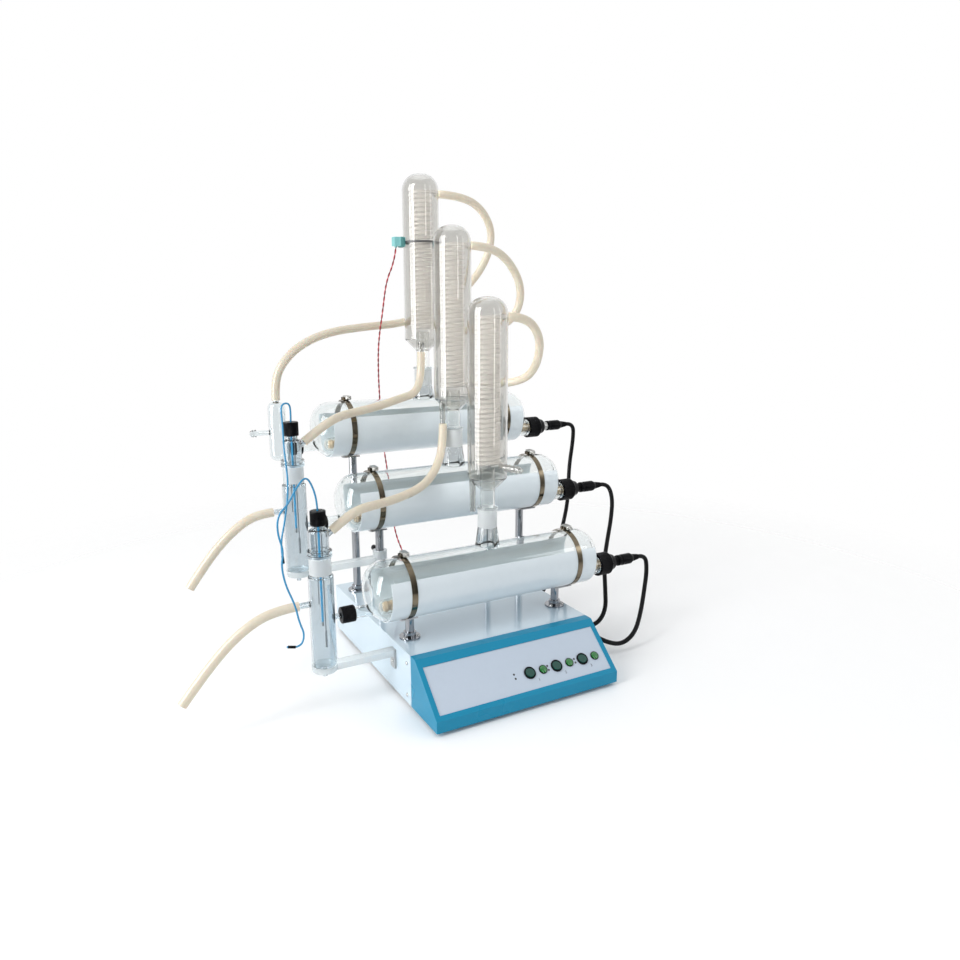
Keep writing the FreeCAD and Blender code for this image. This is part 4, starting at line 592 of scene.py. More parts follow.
def glass_of(name, bands=(), clear=0.0, rough=0.015, tint=None, through=1.0, zone=None):
    """Clear glass that darkens along its way through the wall, with frosted ground bands.

    zone is (centre, radius, low, high, colour): inside that upright cylinder the glass
    takes the zone's colour.
    """
    look = bpy.context.scene.still_glass
    material = bpy.data.materials.new(name)
    material.use_nodes = True
    tree = material.node_tree
    shader = tree.nodes["Principled BSDF"]
    tone = opaque(look.tint if tint is None else tint)
    mottle = effect(tree, "Mottle", Color=tone, Shade=opaque([0.93 * part for part in tone[:3]]),
                    Amount=0.12, Scale=30.0, Smoothest=clear, Roughest=rough)
    surface = mottle.outputs["Color"]
    if zone:
        inside = effect(tree, "Ground band", Centre=zone[0], Radius=zone[1], Low=zone[2],
                        High=zone[3])
        surface = mixed(tree, inside.outputs["Mask"], surface, opaque(zone[4]))
    level = mottle.outputs["Roughness"]
    for centre, radius, low, high in bands:
        band = effect(tree, "Ground band", Centre=centre, Radius=radius, Low=low, High=high)
        frost = arithmetic(tree, "MULTIPLY", band.outputs["Mask"], look.frost)
        level = arithmetic(tree, "MAXIMUM", level, frost)
    height = effect(tree, "Grain", Scale=22.0, Waviness=1.0)
    bump = add_node(tree, "ShaderNodeBump", Strength=0.4, Distance=0.04 * MM,
                    Height=height.outputs["Height"])
    tree.links.new(surface, shader.inputs["Base Color"])
    tree.links.new(level, shader.inputs["Roughness"])
    tree.links.new(bump.outputs["Normal"], shader.inputs["Normal"])
    shader.inputs["Transmission Weight"].default_value = through
    shader.inputs["IOR"].default_value = 1.47
    path = tree.nodes.new("ShaderNodeLightPath")
    let_in = arithmetic(tree, "MULTIPLY", path.outputs["Is Shadow Ray"], 1 - look.shade)
    tree.links.new(arithmetic(tree, "SUBTRACT", 1.0, let_in), shader.inputs["Alpha"])
    volume = add_node(tree, "ShaderNodeVolumeAbsorption", Color=opaque(look.depth_tint),
                      Density=look.density)
    tree.links.new(volume.outputs["Volume"],
                   tree.nodes["Material Output"].inputs["Volume"])
    return material


def black_moulding():
    """Black glossy plastic with a little dust in its gloss."""
    tone = bpy.context.scene.still_caps.black
    return finish_of("Black moulding", tone, (0.012, 0.012, 0.013), amount=0.25, scale=70,
                     smooth=0.2, rough=0.36, grain=1400, depth=0.015, Specular_IOR_Level=0.08)


def cord_rubber():
    """Black cord sheath, smooth with soft highlights."""
    return finish_of("Cord sheath", (0.004, 0.004, 0.005), (0.012, 0.012, 0.013), amount=0.3,
                     scale=90, smooth=0.26, rough=0.4, grain=2200, depth=0.01,
                     Specular_IOR_Level=0.14)


# Stage

def area_lamp(name, at, towards, width, height, power):
    """A soft rectangular lamp that faces a point."""
    data = bpy.data.lights.new(name, "AREA")
    data.shape = "RECTANGLE"
    data.size, data.size_y = width, height
    data.energy = power
    lamp = bpy.data.objects.new(name, data)
    bpy.context.scene.collection.objects.link(lamp)
    lamp.location = at
    lamp.rotation_mode = "QUATERNION"
    lamp.rotation_quaternion = (Vector(towards) - Vector(at)).to_track_quat("-Z", "Y")
    return lamp


class STILL_OT_stage(bpy.types.Operator):
    """Sets up the bench top, the soft light and the camera"""

    bl_idname = "still.stage"
    bl_label = "Stage"

    CAMERA_PLACE = (-0.5016, -0.9452)
    CAMERA_HEADING = (0.47453, 0.85276, -0.21821)
    MIDDLE = (-0.03, 0.0, 0.38)
    WHITE = (1, 1, 1, 1)
    LENS_SIDE = (-0.45, -0.88)
    MIRRORED_GREY = (0.07, 0.075, 0.08, 1)
    BENT_GREY = (0.42, 0.43, 0.42, 1)
    SOFT_GREY = (0.62, 0.66, 0.70, 1)

    def execute(self, context):
        look = context.scene.still_stage
        data = bpy.data.cameras.new("camera")
        data.sensor_width = 36.0
        data.lens = look.lens
        camera = bpy.data.objects.new("camera", data)
        context.scene.collection.objects.link(camera)
        camera.location = (*self.CAMERA_PLACE, look.camera_height)
        camera.rotation_mode = "QUATERNION"
        camera.rotation_quaternion = Vector(self.CAMERA_HEADING).to_track_quat("-Z", "Y")
        context.scene.camera = camera
        context.scene.view_settings.view_transform = "Standard"
        for title, number in (("max_bounces", 20), ("transmission_bounces", 20),
                              ("diffuse_bounces", 3), ("glossy_bounces", 6),
                              ("transparent_max_bounces", 12)):
            setattr(context.scene.cycles, title, number)
        self.floor(look)
        self.room(context, look)
        area_lamp("key lamp", (-1.55, -0.35, 0.95), self.MIDDLE, 0.35, 1.7, look.key_power)
        area_lamp("fill lamp", (1.35, -1.35, 0.9), self.MIDDLE, 0.3, 1.5, look.fill_power)
        area_lamp("top lamp", (-0.1, 0.1, 2.3), self.MIDDLE, 1.4, 1.4, look.top_power)
        for name, at, width, share_of in (("broad card", (-1.7, 0.0, 0.8), 1.0, 1.0),
                                          ("narrow card", (0.25, -1.75, 0.9), 0.2, 0.14)):
            card = area_lamp(name, at, self.MIDDLE, width, 1.9, look.card_power * share_of)
            card.visible_diffuse = False
            card.visible_transmission = False
        return {"FINISHED"}

    def floor(self, look):
        """A pale bench top that fades into the white room away from the still."""
        side = 9.0
        mesh = bpy.data.meshes.new("bench_top")
        mesh.from_pydata([(-side, -side, 0), (side, -side, 0), (side, side, 0), (-side, side, 0)],
                         [], [(0, 1, 2, 3)])
        top = bpy.data.objects.new("bench_top", mesh)
        bpy.context.scene.collection.objects.link(top)
        material = finish_of("Bench top", look.floor_colour,
                             [0.98 * part for part in look.floor_colour], amount=0.3, scale=3,
                             smooth=0.6, rough=0.7, depth=0.0)
        tree = material.node_tree
        place = tree.nodes.new("ShaderNodeTexCoord").outputs["Object"]
        away = tree.nodes.new("ShaderNodeVectorMath")
        away.operation = "LENGTH"
        tree.links.new(place, away.inputs[0])
        fade = arithmetic(tree, "MULTIPLY", arithmetic(tree, "SUBTRACT", look.floor_reach,
                                                       away.outputs["Value"]), 1.1, clamp=True)
        tree.links.new(fade, tree.nodes["Principled BSDF"].inputs["Alpha"])
        mesh.materials.append(material)

    def room(self, context, look):
        """A white room: plain light on everything, white to the lens.

        Reflections and the bent light in the glass also meet a grey side of the room, where
        the lens stands, which gives clear glass its dark edges.
        """
        world = bpy.data.worlds.new("room")
        context.scene.world = world
        world.use_nodes = True
        tree = world.node_tree
        tree.nodes.clear()
        path = tree.nodes.new("ShaderNodeLightPath")
        seen = arithmetic(tree, "MAXIMUM", path.outputs["Is Camera Ray"],
                          path.outputs["Is Transmission Ray"])
        seen = arithmetic(tree, "MAXIMUM", seen, path.outputs["Is Glossy Ray"])
        heading = tree.nodes.new("ShaderNodeTexCoord").outputs["Generated"]
        parts = add_node(tree, "ShaderNodeSeparateXYZ", Vector=heading)
        across, along = (arithmetic(tree, "MULTIPLY", parts.outputs[axis], part)
                         for axis, part in zip("XY", self.LENS_SIDE))
        towards = arithmetic(tree, "ADD", across, along)
        front = arithmetic(tree, "MULTIPLY", arithmetic(tree, "SUBTRACT", towards, 0.1), 2.0,
                           clamp=True)
        dark = arithmetic(tree, "MULTIPLY", front, path.outputs["Is Glossy Ray"])
        bent = arithmetic(tree, "MULTIPLY", arithmetic(tree, "ADD", towards, 0.45), 1.4,
                          clamp=True)
        bent = arithmetic(tree, "MULTIPLY", bent, path.outputs["Is Transmission Ray"])
        direct = arithmetic(tree, "LESS_THAN", path.outputs["Diffuse Depth"], 0.5)
        tone = mixed(tree, arithmetic(tree, "MULTIPLY", dark, direct), self.WHITE,
                     self.MIRRORED_GREY)
        tone = mixed(tree, arithmetic(tree, "MULTIPLY", bent, direct), tone,
                     self.BENT_GREY)
        shown = add_node(tree, "ShaderNodeBackground", Color=tone, Strength=1.0)
        soft = mixed(tree, front, self.WHITE, self.SOFT_GREY)
        light = add_node(tree, "ShaderNodeBackground", Color=soft, Strength=look.room_light)
        joined = tree.nodes.new("ShaderNodeMixShader")
        tree.links.new(seen, joined.inputs[0])
        tree.links.new(light.outputs[0], joined.inputs[1])
        tree.links.new(shown.outputs[0], joined.inputs[2])
        out = tree.nodes.new("ShaderNodeOutputWorld")
        tree.links.new(joined.outputs[0], out.inputs["Surface"])


# Hoses, cords and leads

def spline_object(name, points):
    """A smooth curve of one open spline with the points as its control points."""
    curve = bpy.data.curves.new(name, "CURVE")
    curve.dimensions = "3D"
    curve.resolution_u = 14
    spline = curve.splines.new("NURBS")
    spline.points.add(len(points) - 1)
    flat = np.concatenate([np.array(points, float), np.ones((len(points), 1))], 1)
    spline.points.foreach_set("co", flat.ravel())
    spline.order_u = 3
    spline.use_endpoint_u = True
    thing = bpy.data.objects.new(name, curve)
    bpy.context.scene.collection.objects.link(thing)
    return thing


def spline_line(points):
    """The points of a route's smooth line, read from its spline, and its length."""
    guide = spline_object("guide", points)
    mesh = bpy.data.meshes.new_from_object(guide)
    line = np.zeros(len(mesh.vertices) * 3)
    mesh.vertices.foreach_get("co", line)
    bpy.data.meshes.remove(mesh)
    curve = guide.data
    bpy.data.objects.remove(guide)
    bpy.data.curves.remove(curve)
    line = line.reshape(-1, 3)
    return line, float(np.linalg.norm(np.diff(line, axis=0), axis=1).sum())


def laid(name, radius, material, sides=5):
    """A hose, cord or lead along its route, whose length is measured."""
    points = ROUTES[name]
    run = spline_line(points)[1]
    thing = spline_object(name + "_run", points)
    thing.data.bevel_depth = radius
    thing.data.bevel_resolution = sides
    thing.data.use_fill_caps = True
    thing.data.materials.append(material)
    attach(thing, "stand")
    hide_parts(name)


def path_axes(line):
    """Two unit vectors square to a line at each of its points, which never flip.

    T is the unit tangent. The guide is the direction that the tangents share least, the
    last right singular vector of their table; N = guide x T made unit, and B = T x N.
    """
    tangent = np.gradient(line, axis=0)
    tangent /= np.linalg.norm(tangent, axis=1)[:, None]
    guide = np.linalg.svd(tangent, full_matrices=False)[2][-1]
    normal = np.cross(np.broadcast_to(guide, tangent.shape), tangent)
    normal /= np.linalg.norm(normal, axis=1)[:, None]
    return normal, np.cross(tangent, normal)


def evenly(line, run, spacing):
    """A line's points again, evenly spaced by about the given length."""
    steps = np.concatenate([[0], np.cumsum(np.linalg.norm(np.diff(line, axis=0), axis=1))])
    along = np.linspace(0, run, max(12, int(run / spacing)))
    return np.stack([np.interp(along, steps, line[:, axis]) for axis in range(3)], 1), along


def laid_hose(name, look, material):
    """A hose with its bore open at both ends, laid along its route by its measured length."""
    line, run = spline_line(ROUTES[name])
    centre = evenly(line, run, 0.002)[0]
    normal, binormal = path_axes(centre)
    wall = tube_wall(centre, normal, binormal, look.hose_radius, look.hose_bore, 28)
    thing = grid_piece(name + "_run", [(wall, True, False)], material, (name,))


class STILL_OT_hoses(bpy.types.Operator):
    """Lays the silicone hoses that join the condensers and vessels"""

    bl_idname = "still.hoses"
    bl_label = "Hoses"

    def execute(self, context):
        look = context.scene.still_hoses
        silicone = finish_of("Hose silicone", look.hose_colour, (0.54, 0.46, 0.34), amount=0.35,
                             scale=35, smooth=0.22, rough=0.36, grain=500, depth=0.02,
                             Subsurface_Weight=0.15, Subsurface_Scale=0.002, IOR=1.41)
        for name in ROUTES:
            if name.startswith("hose"):
                laid_hose(name, look, silicone)
        return {"FINISHED"}


class STILL_OT_heater_cords(bpy.types.Operator):
    """Lays the black cords of the three heaters"""

    bl_idname = "still.heater_cords"
    bl_label = "Heater cords"

    def execute(self, context):
        look = context.scene.still_hoses
        for tier in TIERS:
            laid("cord_heater_" + tier, look.cord_radius, cord_rubber())
        return {"FINISHED"}


class STILL_OT_leads(bpy.types.Operator):
    """Lays the thin leads of the level vessels and of the thermostat"""

    bl_idname = "still.leads"
    bl_label = "Leads"

    def execute(self, context):
        look = context.scene.still_hoses
        blue = finish_of("Blue lead", look.lead_colour, (0.01, 0.08, 0.25), amount=0.3, scale=120,
                         smooth=0.3, rough=0.45)
        sleeve_black = black_moulding()
        for tier in VESSEL_TIERS:
            name = "lead_vessel_" + tier
            line = spline_line(ROUTES[name])[0]
            heading = line[-1] - line[-6]
            heading = heading / np.linalg.norm(heading)
            outer = look.lead_radius * 1.5
            profile = rounded([(0, -0.011), (outer, -0.011, 0.0005), (outer, -0.001, 0.0006),
                               (0, -0.001)])
            sleeve = (lathe(profile, line[-1], heading, 20), False, False)
            end = grid_piece("lead_end_" + tier, [sleeve], sleeve_black)
            laid(name, look.lead_radius, blue,
                 sides=3)
        self.twin(look)
        return {"FINISHED"}

    def twin(self, look):
        """Two strands wound round each other along the thermostat lead's route.

        Strand k follows C + s (cos(p) N + sin(p) B), with p = 2 pi d / twist + k pi, where
        d is the distance along the line C, and N and B are square to it.
        """
        line, run = spline_line(ROUTES["lead_thermostat"])
        centre, along = evenly(line, run, 0.0013)
        normal, binormal = path_axes(centre)
        strand = look.twin_radius / 2
        meshes = []
        for turn in (0.0, math.pi):
            phase = 2 * math.pi * along / look.twist + turn
            middle = centre + strand * (np.cos(phase)[:, None] * normal
                                        + np.sin(phase)[:, None] * binormal)
            meshes.append((carried(middle, normal, binormal, strand, 8), False, True))
        mesh = mesh_from_grids("twin_lead_run", meshes)
        red = finish_of("Red strand", (0.68, 0.03, 0.06), (0.4, 0.015, 0.02), amount=0.35,
                        scale=150, smooth=0.3, rough=0.45)
        black = finish_of("Dark strand", (0.20, 0.010, 0.018), (0.06, 0.006, 0.008), amount=0.35,
                          scale=150, smooth=0.3, rough=0.45)
        thing = piece("twin_lead_run", mesh, red, stands_for=("lead_thermostat",))
        mesh.materials.append(black)
        dark = np.zeros(len(mesh.polygons), int)
        dark[len(dark) // 2:] = 1
        mesh.polygons.foreach_set("material_index", dark)


# Glassware

class STILL_OT_glassware(bpy.types.Operator):
    """Gives the boilers, condensers and vessels clear walls with frosted ground joints"""

    bl_idname = "still.glassware"
    bl_label = "Glassware"

    # Ground joints: a radius, then a lower and an upper end counted from the socket's rim.
    BOILER_BAND = (0.0152, -0.0285, -0.0005)
    VESSEL_BAND = (0.0157, -0.0255, -0.0005)
    BOILER_SLEEVE = (0.01366, -0.0282, -0.0034)
    VESSEL_SLEEVE = (0.01396, -0.0256, -0.0034)
    SOCKET_GREY = (0.74, 0.76, 0.77)
    RISER_CLEAR = (0.97, 0.97, 0.96)

    def execute(self, context):
        look = context.scene.still_glass
        for tier in TIERS:
            rim = socket_rim(tier)
            centre = (JOINT_X, ROW[tier], 0.0)
            band = self.band(centre, rim, self.BOILER_BAND)
            socket = (centre, 0.028, LEVEL[tier] + 0.0415, rim + 0.004, self.SOCKET_GREY)
            dress("boiler_" + tier, glass_of("Boiler glass " + tier, band, tint=look.boiler_tint,
                                             zone=socket))
            riser = (centre, 0.0150, rim - 0.06, rim + 0.30, self.RISER_CLEAR)
            dress("condenser_" + tier, glass_of("Condenser glass " + tier, band, zone=riser))
        for tier in VESSEL_TIERS:
            rim = LEVEL[tier] + VESSEL_RIM
            band = self.band((VESSEL_X, ROW[tier], 0.0), rim, self.VESSEL_BAND)
            glass = glass_of("Vessel glass " + tier, band, tint=look.vessel_tint)
            dress("level_vessel_" + tier, glass)
            dress("vessel_head_" + tier, glass)
        dress("feed_vessel", glass_of("Feed vessel glass", tint=(0.90, 0.93, 0.94)))
        self.ground_joints()
        dress("heater_sheaths", glass_of("Quartz", rough=0.05, tint=(0.95, 0.94, 0.91)))
        enamel = finish_of("Reflector enamel", (0.72, 0.78, 0.81), (0.60, 0.66, 0.69), amount=0.25,
                           scale=14, smooth=0.16, rough=0.28, grain=300, depth=0.01, coat=0.4)
        dress("reflectors", enamel)
        return {"FINISHED"}

    def band(self, centre, rim, sizes):
        """A ground joint's frosted part: its centre, radius and two heights."""
        radius, low, high = sizes
        return [(centre, radius, rim + low, rim + high)]

    def ground_joints(self):
        """The milky haze of the ground joints, as thin sleeves on the sockets."""
        haze = finish_of("Ground haze", (0.84, 0.86, 0.86), (0.68, 0.71, 0.72), amount=0.4,
                         scale=90, smooth=0.5, rough=0.7, grain=2500, depth=0.03, Alpha=0.5)
        sleeves = []
        for tier in TIERS:
            rim = socket_rim(tier)
            sleeves.append(((JOINT_X, ROW[tier], rim), *self.BOILER_SLEEVE))
        for tier in VESSEL_TIERS:
            rim = LEVEL[tier] + VESSEL_RIM
            sleeves.append(((VESSEL_X, ROW[tier], rim), *self.VESSEL_SLEEVE))
        grids = []
        for origin, radius, low, high in sleeves:
            inner, outer = radius - 0.00004, radius + 0.00005
            profile = [(inner, low), (outer, low), (outer, high), (inner, high)]
            grids.append((lathe(profile, origin, UPWARDS, 64), True, False))
        grid_piece("ground_haze", grids, haze)


class STILL_OT_coils(bpy.types.Operator):
    """Winds the glass cooling coil of each condenser"""

    bl_idname = "still.coils"
    bl_label = "Cooling coils"

    # Distances from a condenser's axis and above its socket's rim, in metres.
    REACH = 0.0256
    INLET_HEIGHT = 0.060
    RISE = 0.199
    STEPS_PER_TURN = 26
    LEAD_TURNS = 0.33

    def execute(self, context):
        look = context.scene.still_glass
        glass = glass_of("Coil glass", clear=0.06, rough=0.14, tint=(0.86, 0.84, 0.815),
                         through=0.85)
        for tier in TIERS:
            rim = socket_rim(tier)
            first = math.radians(INLET[tier])
            winding = self.winding(look, (JOINT_X, ROW[tier], rim), first)
            grid_piece("coil_run_" + tier, [(winding, True, False)], glass,
                       ("coil_" + tier,), angle=math.radians(80))
        return {"FINISHED"}

    def winding(self, look, origin, first):
        """A hollow tube on a helix whose ends spiral out to the jacket's nipples.

        C = (R(t) cos a, R(t) sin a, z(t)) with a running from the inlet's bearing to the
        outlet's after the whole turns. R is the coil's radius and swells by smooth steps
        s(q) = q q (3 - 2 q) to the jacket's wall over the first and last third of a turn.
        """
        last = 2 * math.pi * look.coil_turns
        t = np.linspace(0, 1, look.coil_turns * self.STEPS_PER_TURN + 1)
        angle = first + (last - first) * t
        lead = self.LEAD_TURNS / look.coil_turns
        near_end = np.clip(np.minimum(t, 1 - t) / lead, 0, 1)
        ease = near_end * near_end * (3 - 2 * near_end)
        radius = look.coil_radius + (self.REACH - look.coil_radius) * (1 - ease)
        climb = np.clip((t - lead) / (1 - 2 * lead), 0, 1)
        height = self.INLET_HEIGHT + self.RISE * climb
        centre = np.stack([radius * np.cos(angle), radius * np.sin(angle), height], 1)
        tangent = np.gradient(centre, axis=0)
        tangent /= np.linalg.norm(tangent, axis=1)[:, None]
        outward = np.stack([np.cos(angle), np.sin(angle), np.zeros_like(angle)], 1)
        normal = outward - (outward * tangent).sum(1)[:, None] * tangent
        normal /= np.linalg.norm(normal, axis=1)[:, None]
        binormal = np.cross(tangent, normal)
        return tube_wall(centre + np.array(origin), normal, binormal, look.coil_tube,
                         look.coil_tube - look.coil_wall, 10)


# Heaters and plugs

class STILL_OT_heaters(bpy.types.Operator):
    """Makes the ribbed heater elements, their socket heads, plugs and boots"""

    bl_idname = "still.heaters"
    bl_label = "Heaters"

    def execute(self, context):
        ceramic = finish_of("Heater ceramic", (0.50, 0.40, 0.27), (0.22, 0.15, 0.09), amount=0.55,
                            scale=40, smooth=0.55, rough=0.8, grain=1200, depth=0.05)
        metal = finish_of("Plug neck", (0.48, 0.48, 0.47), (0.3, 0.3, 0.3), amount=0.3, scale=90,
                          smooth=0.25, rough=0.4, metallic=1.0)
        elements, heads = [], []
        for tier in TIERS:
            origin = neck_centre(tier)
            elements.append((self.element(origin), False, False))
            heads.append((self.head(origin), True, False))
            self.plug(tier, origin, metal if tier == "rear" else None)
        grid_piece("heater_elements", elements, ceramic, ("heater_inserts",))
        grid_piece("socket_heads", heads, black_moulding())
        return {"FINISHED"}

    def element(self, origin):
        """A ribbed ceramic rod: r = core + rib w w, with w = (1 + cos(2 pi h / pitch)) / 2."""
        start, end, pitch, core, rib = -0.1535, 0.2065, 0.0075, 0.0058, 0.0016
        h = np.linspace(start, end, int((end - start) / pitch) * 6)
        wave = (1 + np.cos(2 * math.pi * h / pitch)) / 2
        r = core + rib * wave ** 2
        profile = np.concatenate([[[0, start]], np.stack([r, h], 1), [[0, end]]])
        return lathe(profile, origin, ALONG_X, 28)

    def head(self, origin):
        """The socket head: a cup over the sheath's open end."""
        profile = rounded([(0.0102, 0.1987), (0.0144, 0.1987, 0.0008), (0.0144, 0.221, 0.0008),
                           (0.0002, 0.221), (0.0002, 0.2068), (0.0102, 0.2068)])
        return lathe(profile, origin, ALONG_X, 48)

    def plug(self, tier, origin, metal):
        """A plug body with a ridged collar and a tapered, ridged boot, turned in one outline."""
        neck = [(0.0, 0.2212), (0.0066, 0.2212, 0.0004), (0.0066, 0.2400, 0.0004)]
        body = [(0.0084, 0.2400, 0.0006), (0.0086, 0.2440, 0.0006), (0.0080, 0.2446, 0.0004),
                (0.0080, 0.2476, 0.0004), (0.0086, 0.2482, 0.0006), (0.0086, 0.2650, 0.0016),
                (0.0062, 0.2700, 0.0010)]
        boot = []
        pitch, taper, groove = 0.00256, 0.00042, 0.0009
        for ring in range(5):
            start = 0.2702 + ring * pitch
            outer = 0.0060 - ring * taper
            boot += [(outer, start, 0.0002), (outer, start + 0.0015, 0.0003),
                     (outer - groove, start + 0.0017, 0.0002),
                     (outer - groove, start + 0.0024, 0.0002)]
        profile = rounded(neck + body + boot + [(0.0, 0.2830)], 3)
        names = ("heater_plugs",) if tier == "front" else ()
        grid_piece("plug_" + tier, [(lathe(profile, origin, ALONG_X, 48), False, False)],
                   black_moulding(), names)
        if metal:
            sleeve = rounded([(0.0067, 0.2300), (0.0073, 0.2300, 0.0004), (0.0073, 0.2398, 0.0004),
                              (0.0067, 0.2398)])
            grid_piece("plug_neck_" + tier, [(lathe(sleeve, origin, ALONG_X, 48), True, False)],
                       metal)


# Screw caps and rings

def gripped(outer, low, high, number, depth):
    """Grip grooves: r - depth g g on the skin, with g = (1 + cos(number a)) / 2."""
    def shape(r, h, a):
        comb = (1 + np.cos(number * a)) / 2
        skin = (r > outer - 1e-6) & (h > low) & (h < high)
        return np.where(skin, r - depth * comb ** 2, r)
    return shape


class STILL_OT_screw_caps(bpy.types.Operator):
    """Makes the ribbed screw caps and the coupling rings, each on its own thread axis"""

    bl_idname = "still.screw_caps"
    bl_label = "Screw caps"

    def execute(self, context):
        look = context.scene.still_caps
        for tier in TIERS:
            self.neck_cap(tier, neck_centre(tier), look)
            self.ring(tier, neck_centre(tier), look)
        for tier in VESSEL_TIERS:
            self.vessel_cap(tier, (VESSEL_X, ROW[tier], LEVEL[tier]), look)
        return {"FINISHED"}

    def add(self, name, profile, origin, heading, grip, segments):
        """A ribbed moulding that rides on the body of its own name."""
        grid = lathe(profile, origin, heading, segments, grip)
        grid_piece(name + "_ribbed", [(grid, True, False)], black_moulding(),
                   (name,), name, math.radians(40))

    def neck_cap(self, tier, origin, look):
        """An open-topped screw cap on the boiler's left neck."""
        profile = rounded([
            (0.0043, -0.2130), (0.0110, -0.2130, 0.0012), (0.0110, -0.2108), (0.0110, -0.2095),
            (0.0110, -0.1985), (0.0110, -0.1972), (0.0110, -0.1950, 0.0004),
            (0.0083, -0.1950), (0.0083, -0.2085), (0.0043, -0.2085)])
        self.add("neck_cap_" + tier, profile, origin, ALONG_X,
                 gripped(0.0110, -0.2100, -0.1980, look.ribs, look.rib_depth), look.ribs * 6)

    def vessel_cap(self, tier, origin, look):
        """The screw cap on a level vessel's head."""
        profile = rounded([
            (0.0083, 0.1020), (0.0099, 0.1020, 0.0004), (0.0099, 0.1030), (0.0099, 0.1042),
            (0.0099, 0.1180), (0.0099, 0.1190), (0.0099, 0.1205, 0.0010), (0.0024, 0.1205),
            (0.0024, 0.1158), (0.0083, 0.1158)])
        self.add("vessel_cap_" + tier, profile, origin, UPWARDS,
                 gripped(0.0099, 0.1036, 0.1184, look.ribs, look.rib_depth), look.ribs * 6)

    def ring(self, tier, origin, look):
        """The coupling ring round the heater's socket head, with a tapered nose."""
        profile = rounded([
            (0.0147, 0.1990), (0.0175, 0.1990, 0.0006), (0.0175, 0.2004), (0.0175, 0.2016),
            (0.0175, 0.2174), (0.0175, 0.2182), (0.0175, 0.2192, 0.0006), (0.0150, 0.2216, 0.0008),
            (0.0142, 0.2230, 0.0004), (0.0115, 0.2306, 0.0008), (0.0090, 0.2306), (0.0090, 0.2213),
            (0.0147, 0.2213)])
        self.add("coupling_ring_" + tier, profile, origin, ALONG_X,
                 gripped(0.0175, 0.2010, 0.2178, look.ring_ribs, look.rib_depth),
                 look.ring_ribs * 6)


# Cabinet and controls

SLOPE = math.atan2(0.056, 0.063)
PANEL_FOOT = (-0.187, 0.021)
SWITCHES = (0.0093, 0.0524, 0.0955)
CONTROL_ROW = 0.030
LAMP_SHIFT = 0.0213
GLAND_ROWS = (-0.075, -0.030, 0.060, 0.130)
CABINET_SIDE = 0.140
GLAND_HEIGHT = 0.034


def on_slope(across, up, out):
    """A point on the sloping front, from its place across, up the slope and off it."""
    y = PANEL_FOOT[0] + up * math.cos(SLOPE) - out * math.sin(SLOPE)
    z = PANEL_FOOT[1] + up * math.sin(SLOPE) + out * math.cos(SLOPE)
    return (across, y, z)


OUT_OF_SLOPE = (0.0, -math.sin(SLOPE), math.cos(SLOPE))


class STILL_OT_cabinet(bpy.types.Operator):
    """Paints the cabinet, rounds its bends and finishes its front, feet and glands"""

    bl_idname = "still.cabinet"
    bl_label = "Cabinet"

    def execute(self, context):
        look = context.scene.still_cabinet
        paint = finish_of("Cabinet paint", look.paint, [0.86 * part for part in look.paint],
                          amount=0.2, scale=9, smooth=0.06, rough=0.14, grain=700, depth=0.006,
                          coat=0.5)
        merged_copy("cabinet_shell", "cabinet_cover", paint, edge=look.edge)
        blue = finish_of("Blue moulding", look.front, [0.8 * part for part in look.front],
                         amount=0.1, scale=5, smooth=0.24, rough=0.32, grain=1100, depth=0.012,
                         Specular_IOR_Level=0.3)
        merged_copy("fascia", "moulded_front", blue, edge=look.edge)
        film = finish_of("Panel film", look.panel, [0.88 * part for part in look.panel],
                         amount=0.25, scale=25, smooth=0.3, rough=0.42, grain=1500, depth=0.01)
        dress("control_panel", film)
        dress("base_plate", finish_of("Zinc plate", (0.5, 0.51, 0.52), (0.36, 0.37, 0.39),
                                      amount=0.5, scale=30, smooth=0.35, rough=0.55,
                                      metallic=0.9))
        rubber = finish_of("Foot rubber", (0.02, 0.02, 0.02), (0.05, 0.05, 0.05), amount=0.4,
                           scale=80, smooth=0.6, rough=0.8, grain=1500, depth=0.05)
        dress("rubber_feet", rubber)
        self.glands(black_moulding())
        return {"FINISHED"}

    def glands(self, material):
        """Cord glands with a six-sided nut: r = n / cos(a mod 60 - 30), and a domed cap."""
        grids = []
        for y in GLAND_ROWS:
            nut = rounded([(0.0036, 0.0), (0.0094, 0.0), (0.0094, 0.0049), (0.0072, 0.0050),
                           (0.0072, 0.0094, 0.0014), (0.0052, 0.0120, 0.0008), (0.0036, 0.0120)])

            def hexed(r, h, a):
                flat = 0.0083 / np.cos((a % (math.pi / 3)) - math.pi / 6)
                return np.where(r > 0.0090, np.minimum(flat, 0.0094), r)

            at = (CABINET_SIDE, y, GLAND_HEIGHT)
            grids.append((lathe(nut, at, ALONG_X, 72, hexed), True, False))
        ring = rounded([(0.0016, 0.0), (0.0050, 0.0), (0.0050, 0.0016, 0.0008),
                        (0.0034, 0.0030, 0.0008), (0.0016, 0.0030)])
        grids.append((lathe(ring, (-0.036, 0.134, 0.077), UPWARDS, 40), True, False))
        grid_piece("gland_set", grids, material, ("cord_glands",))


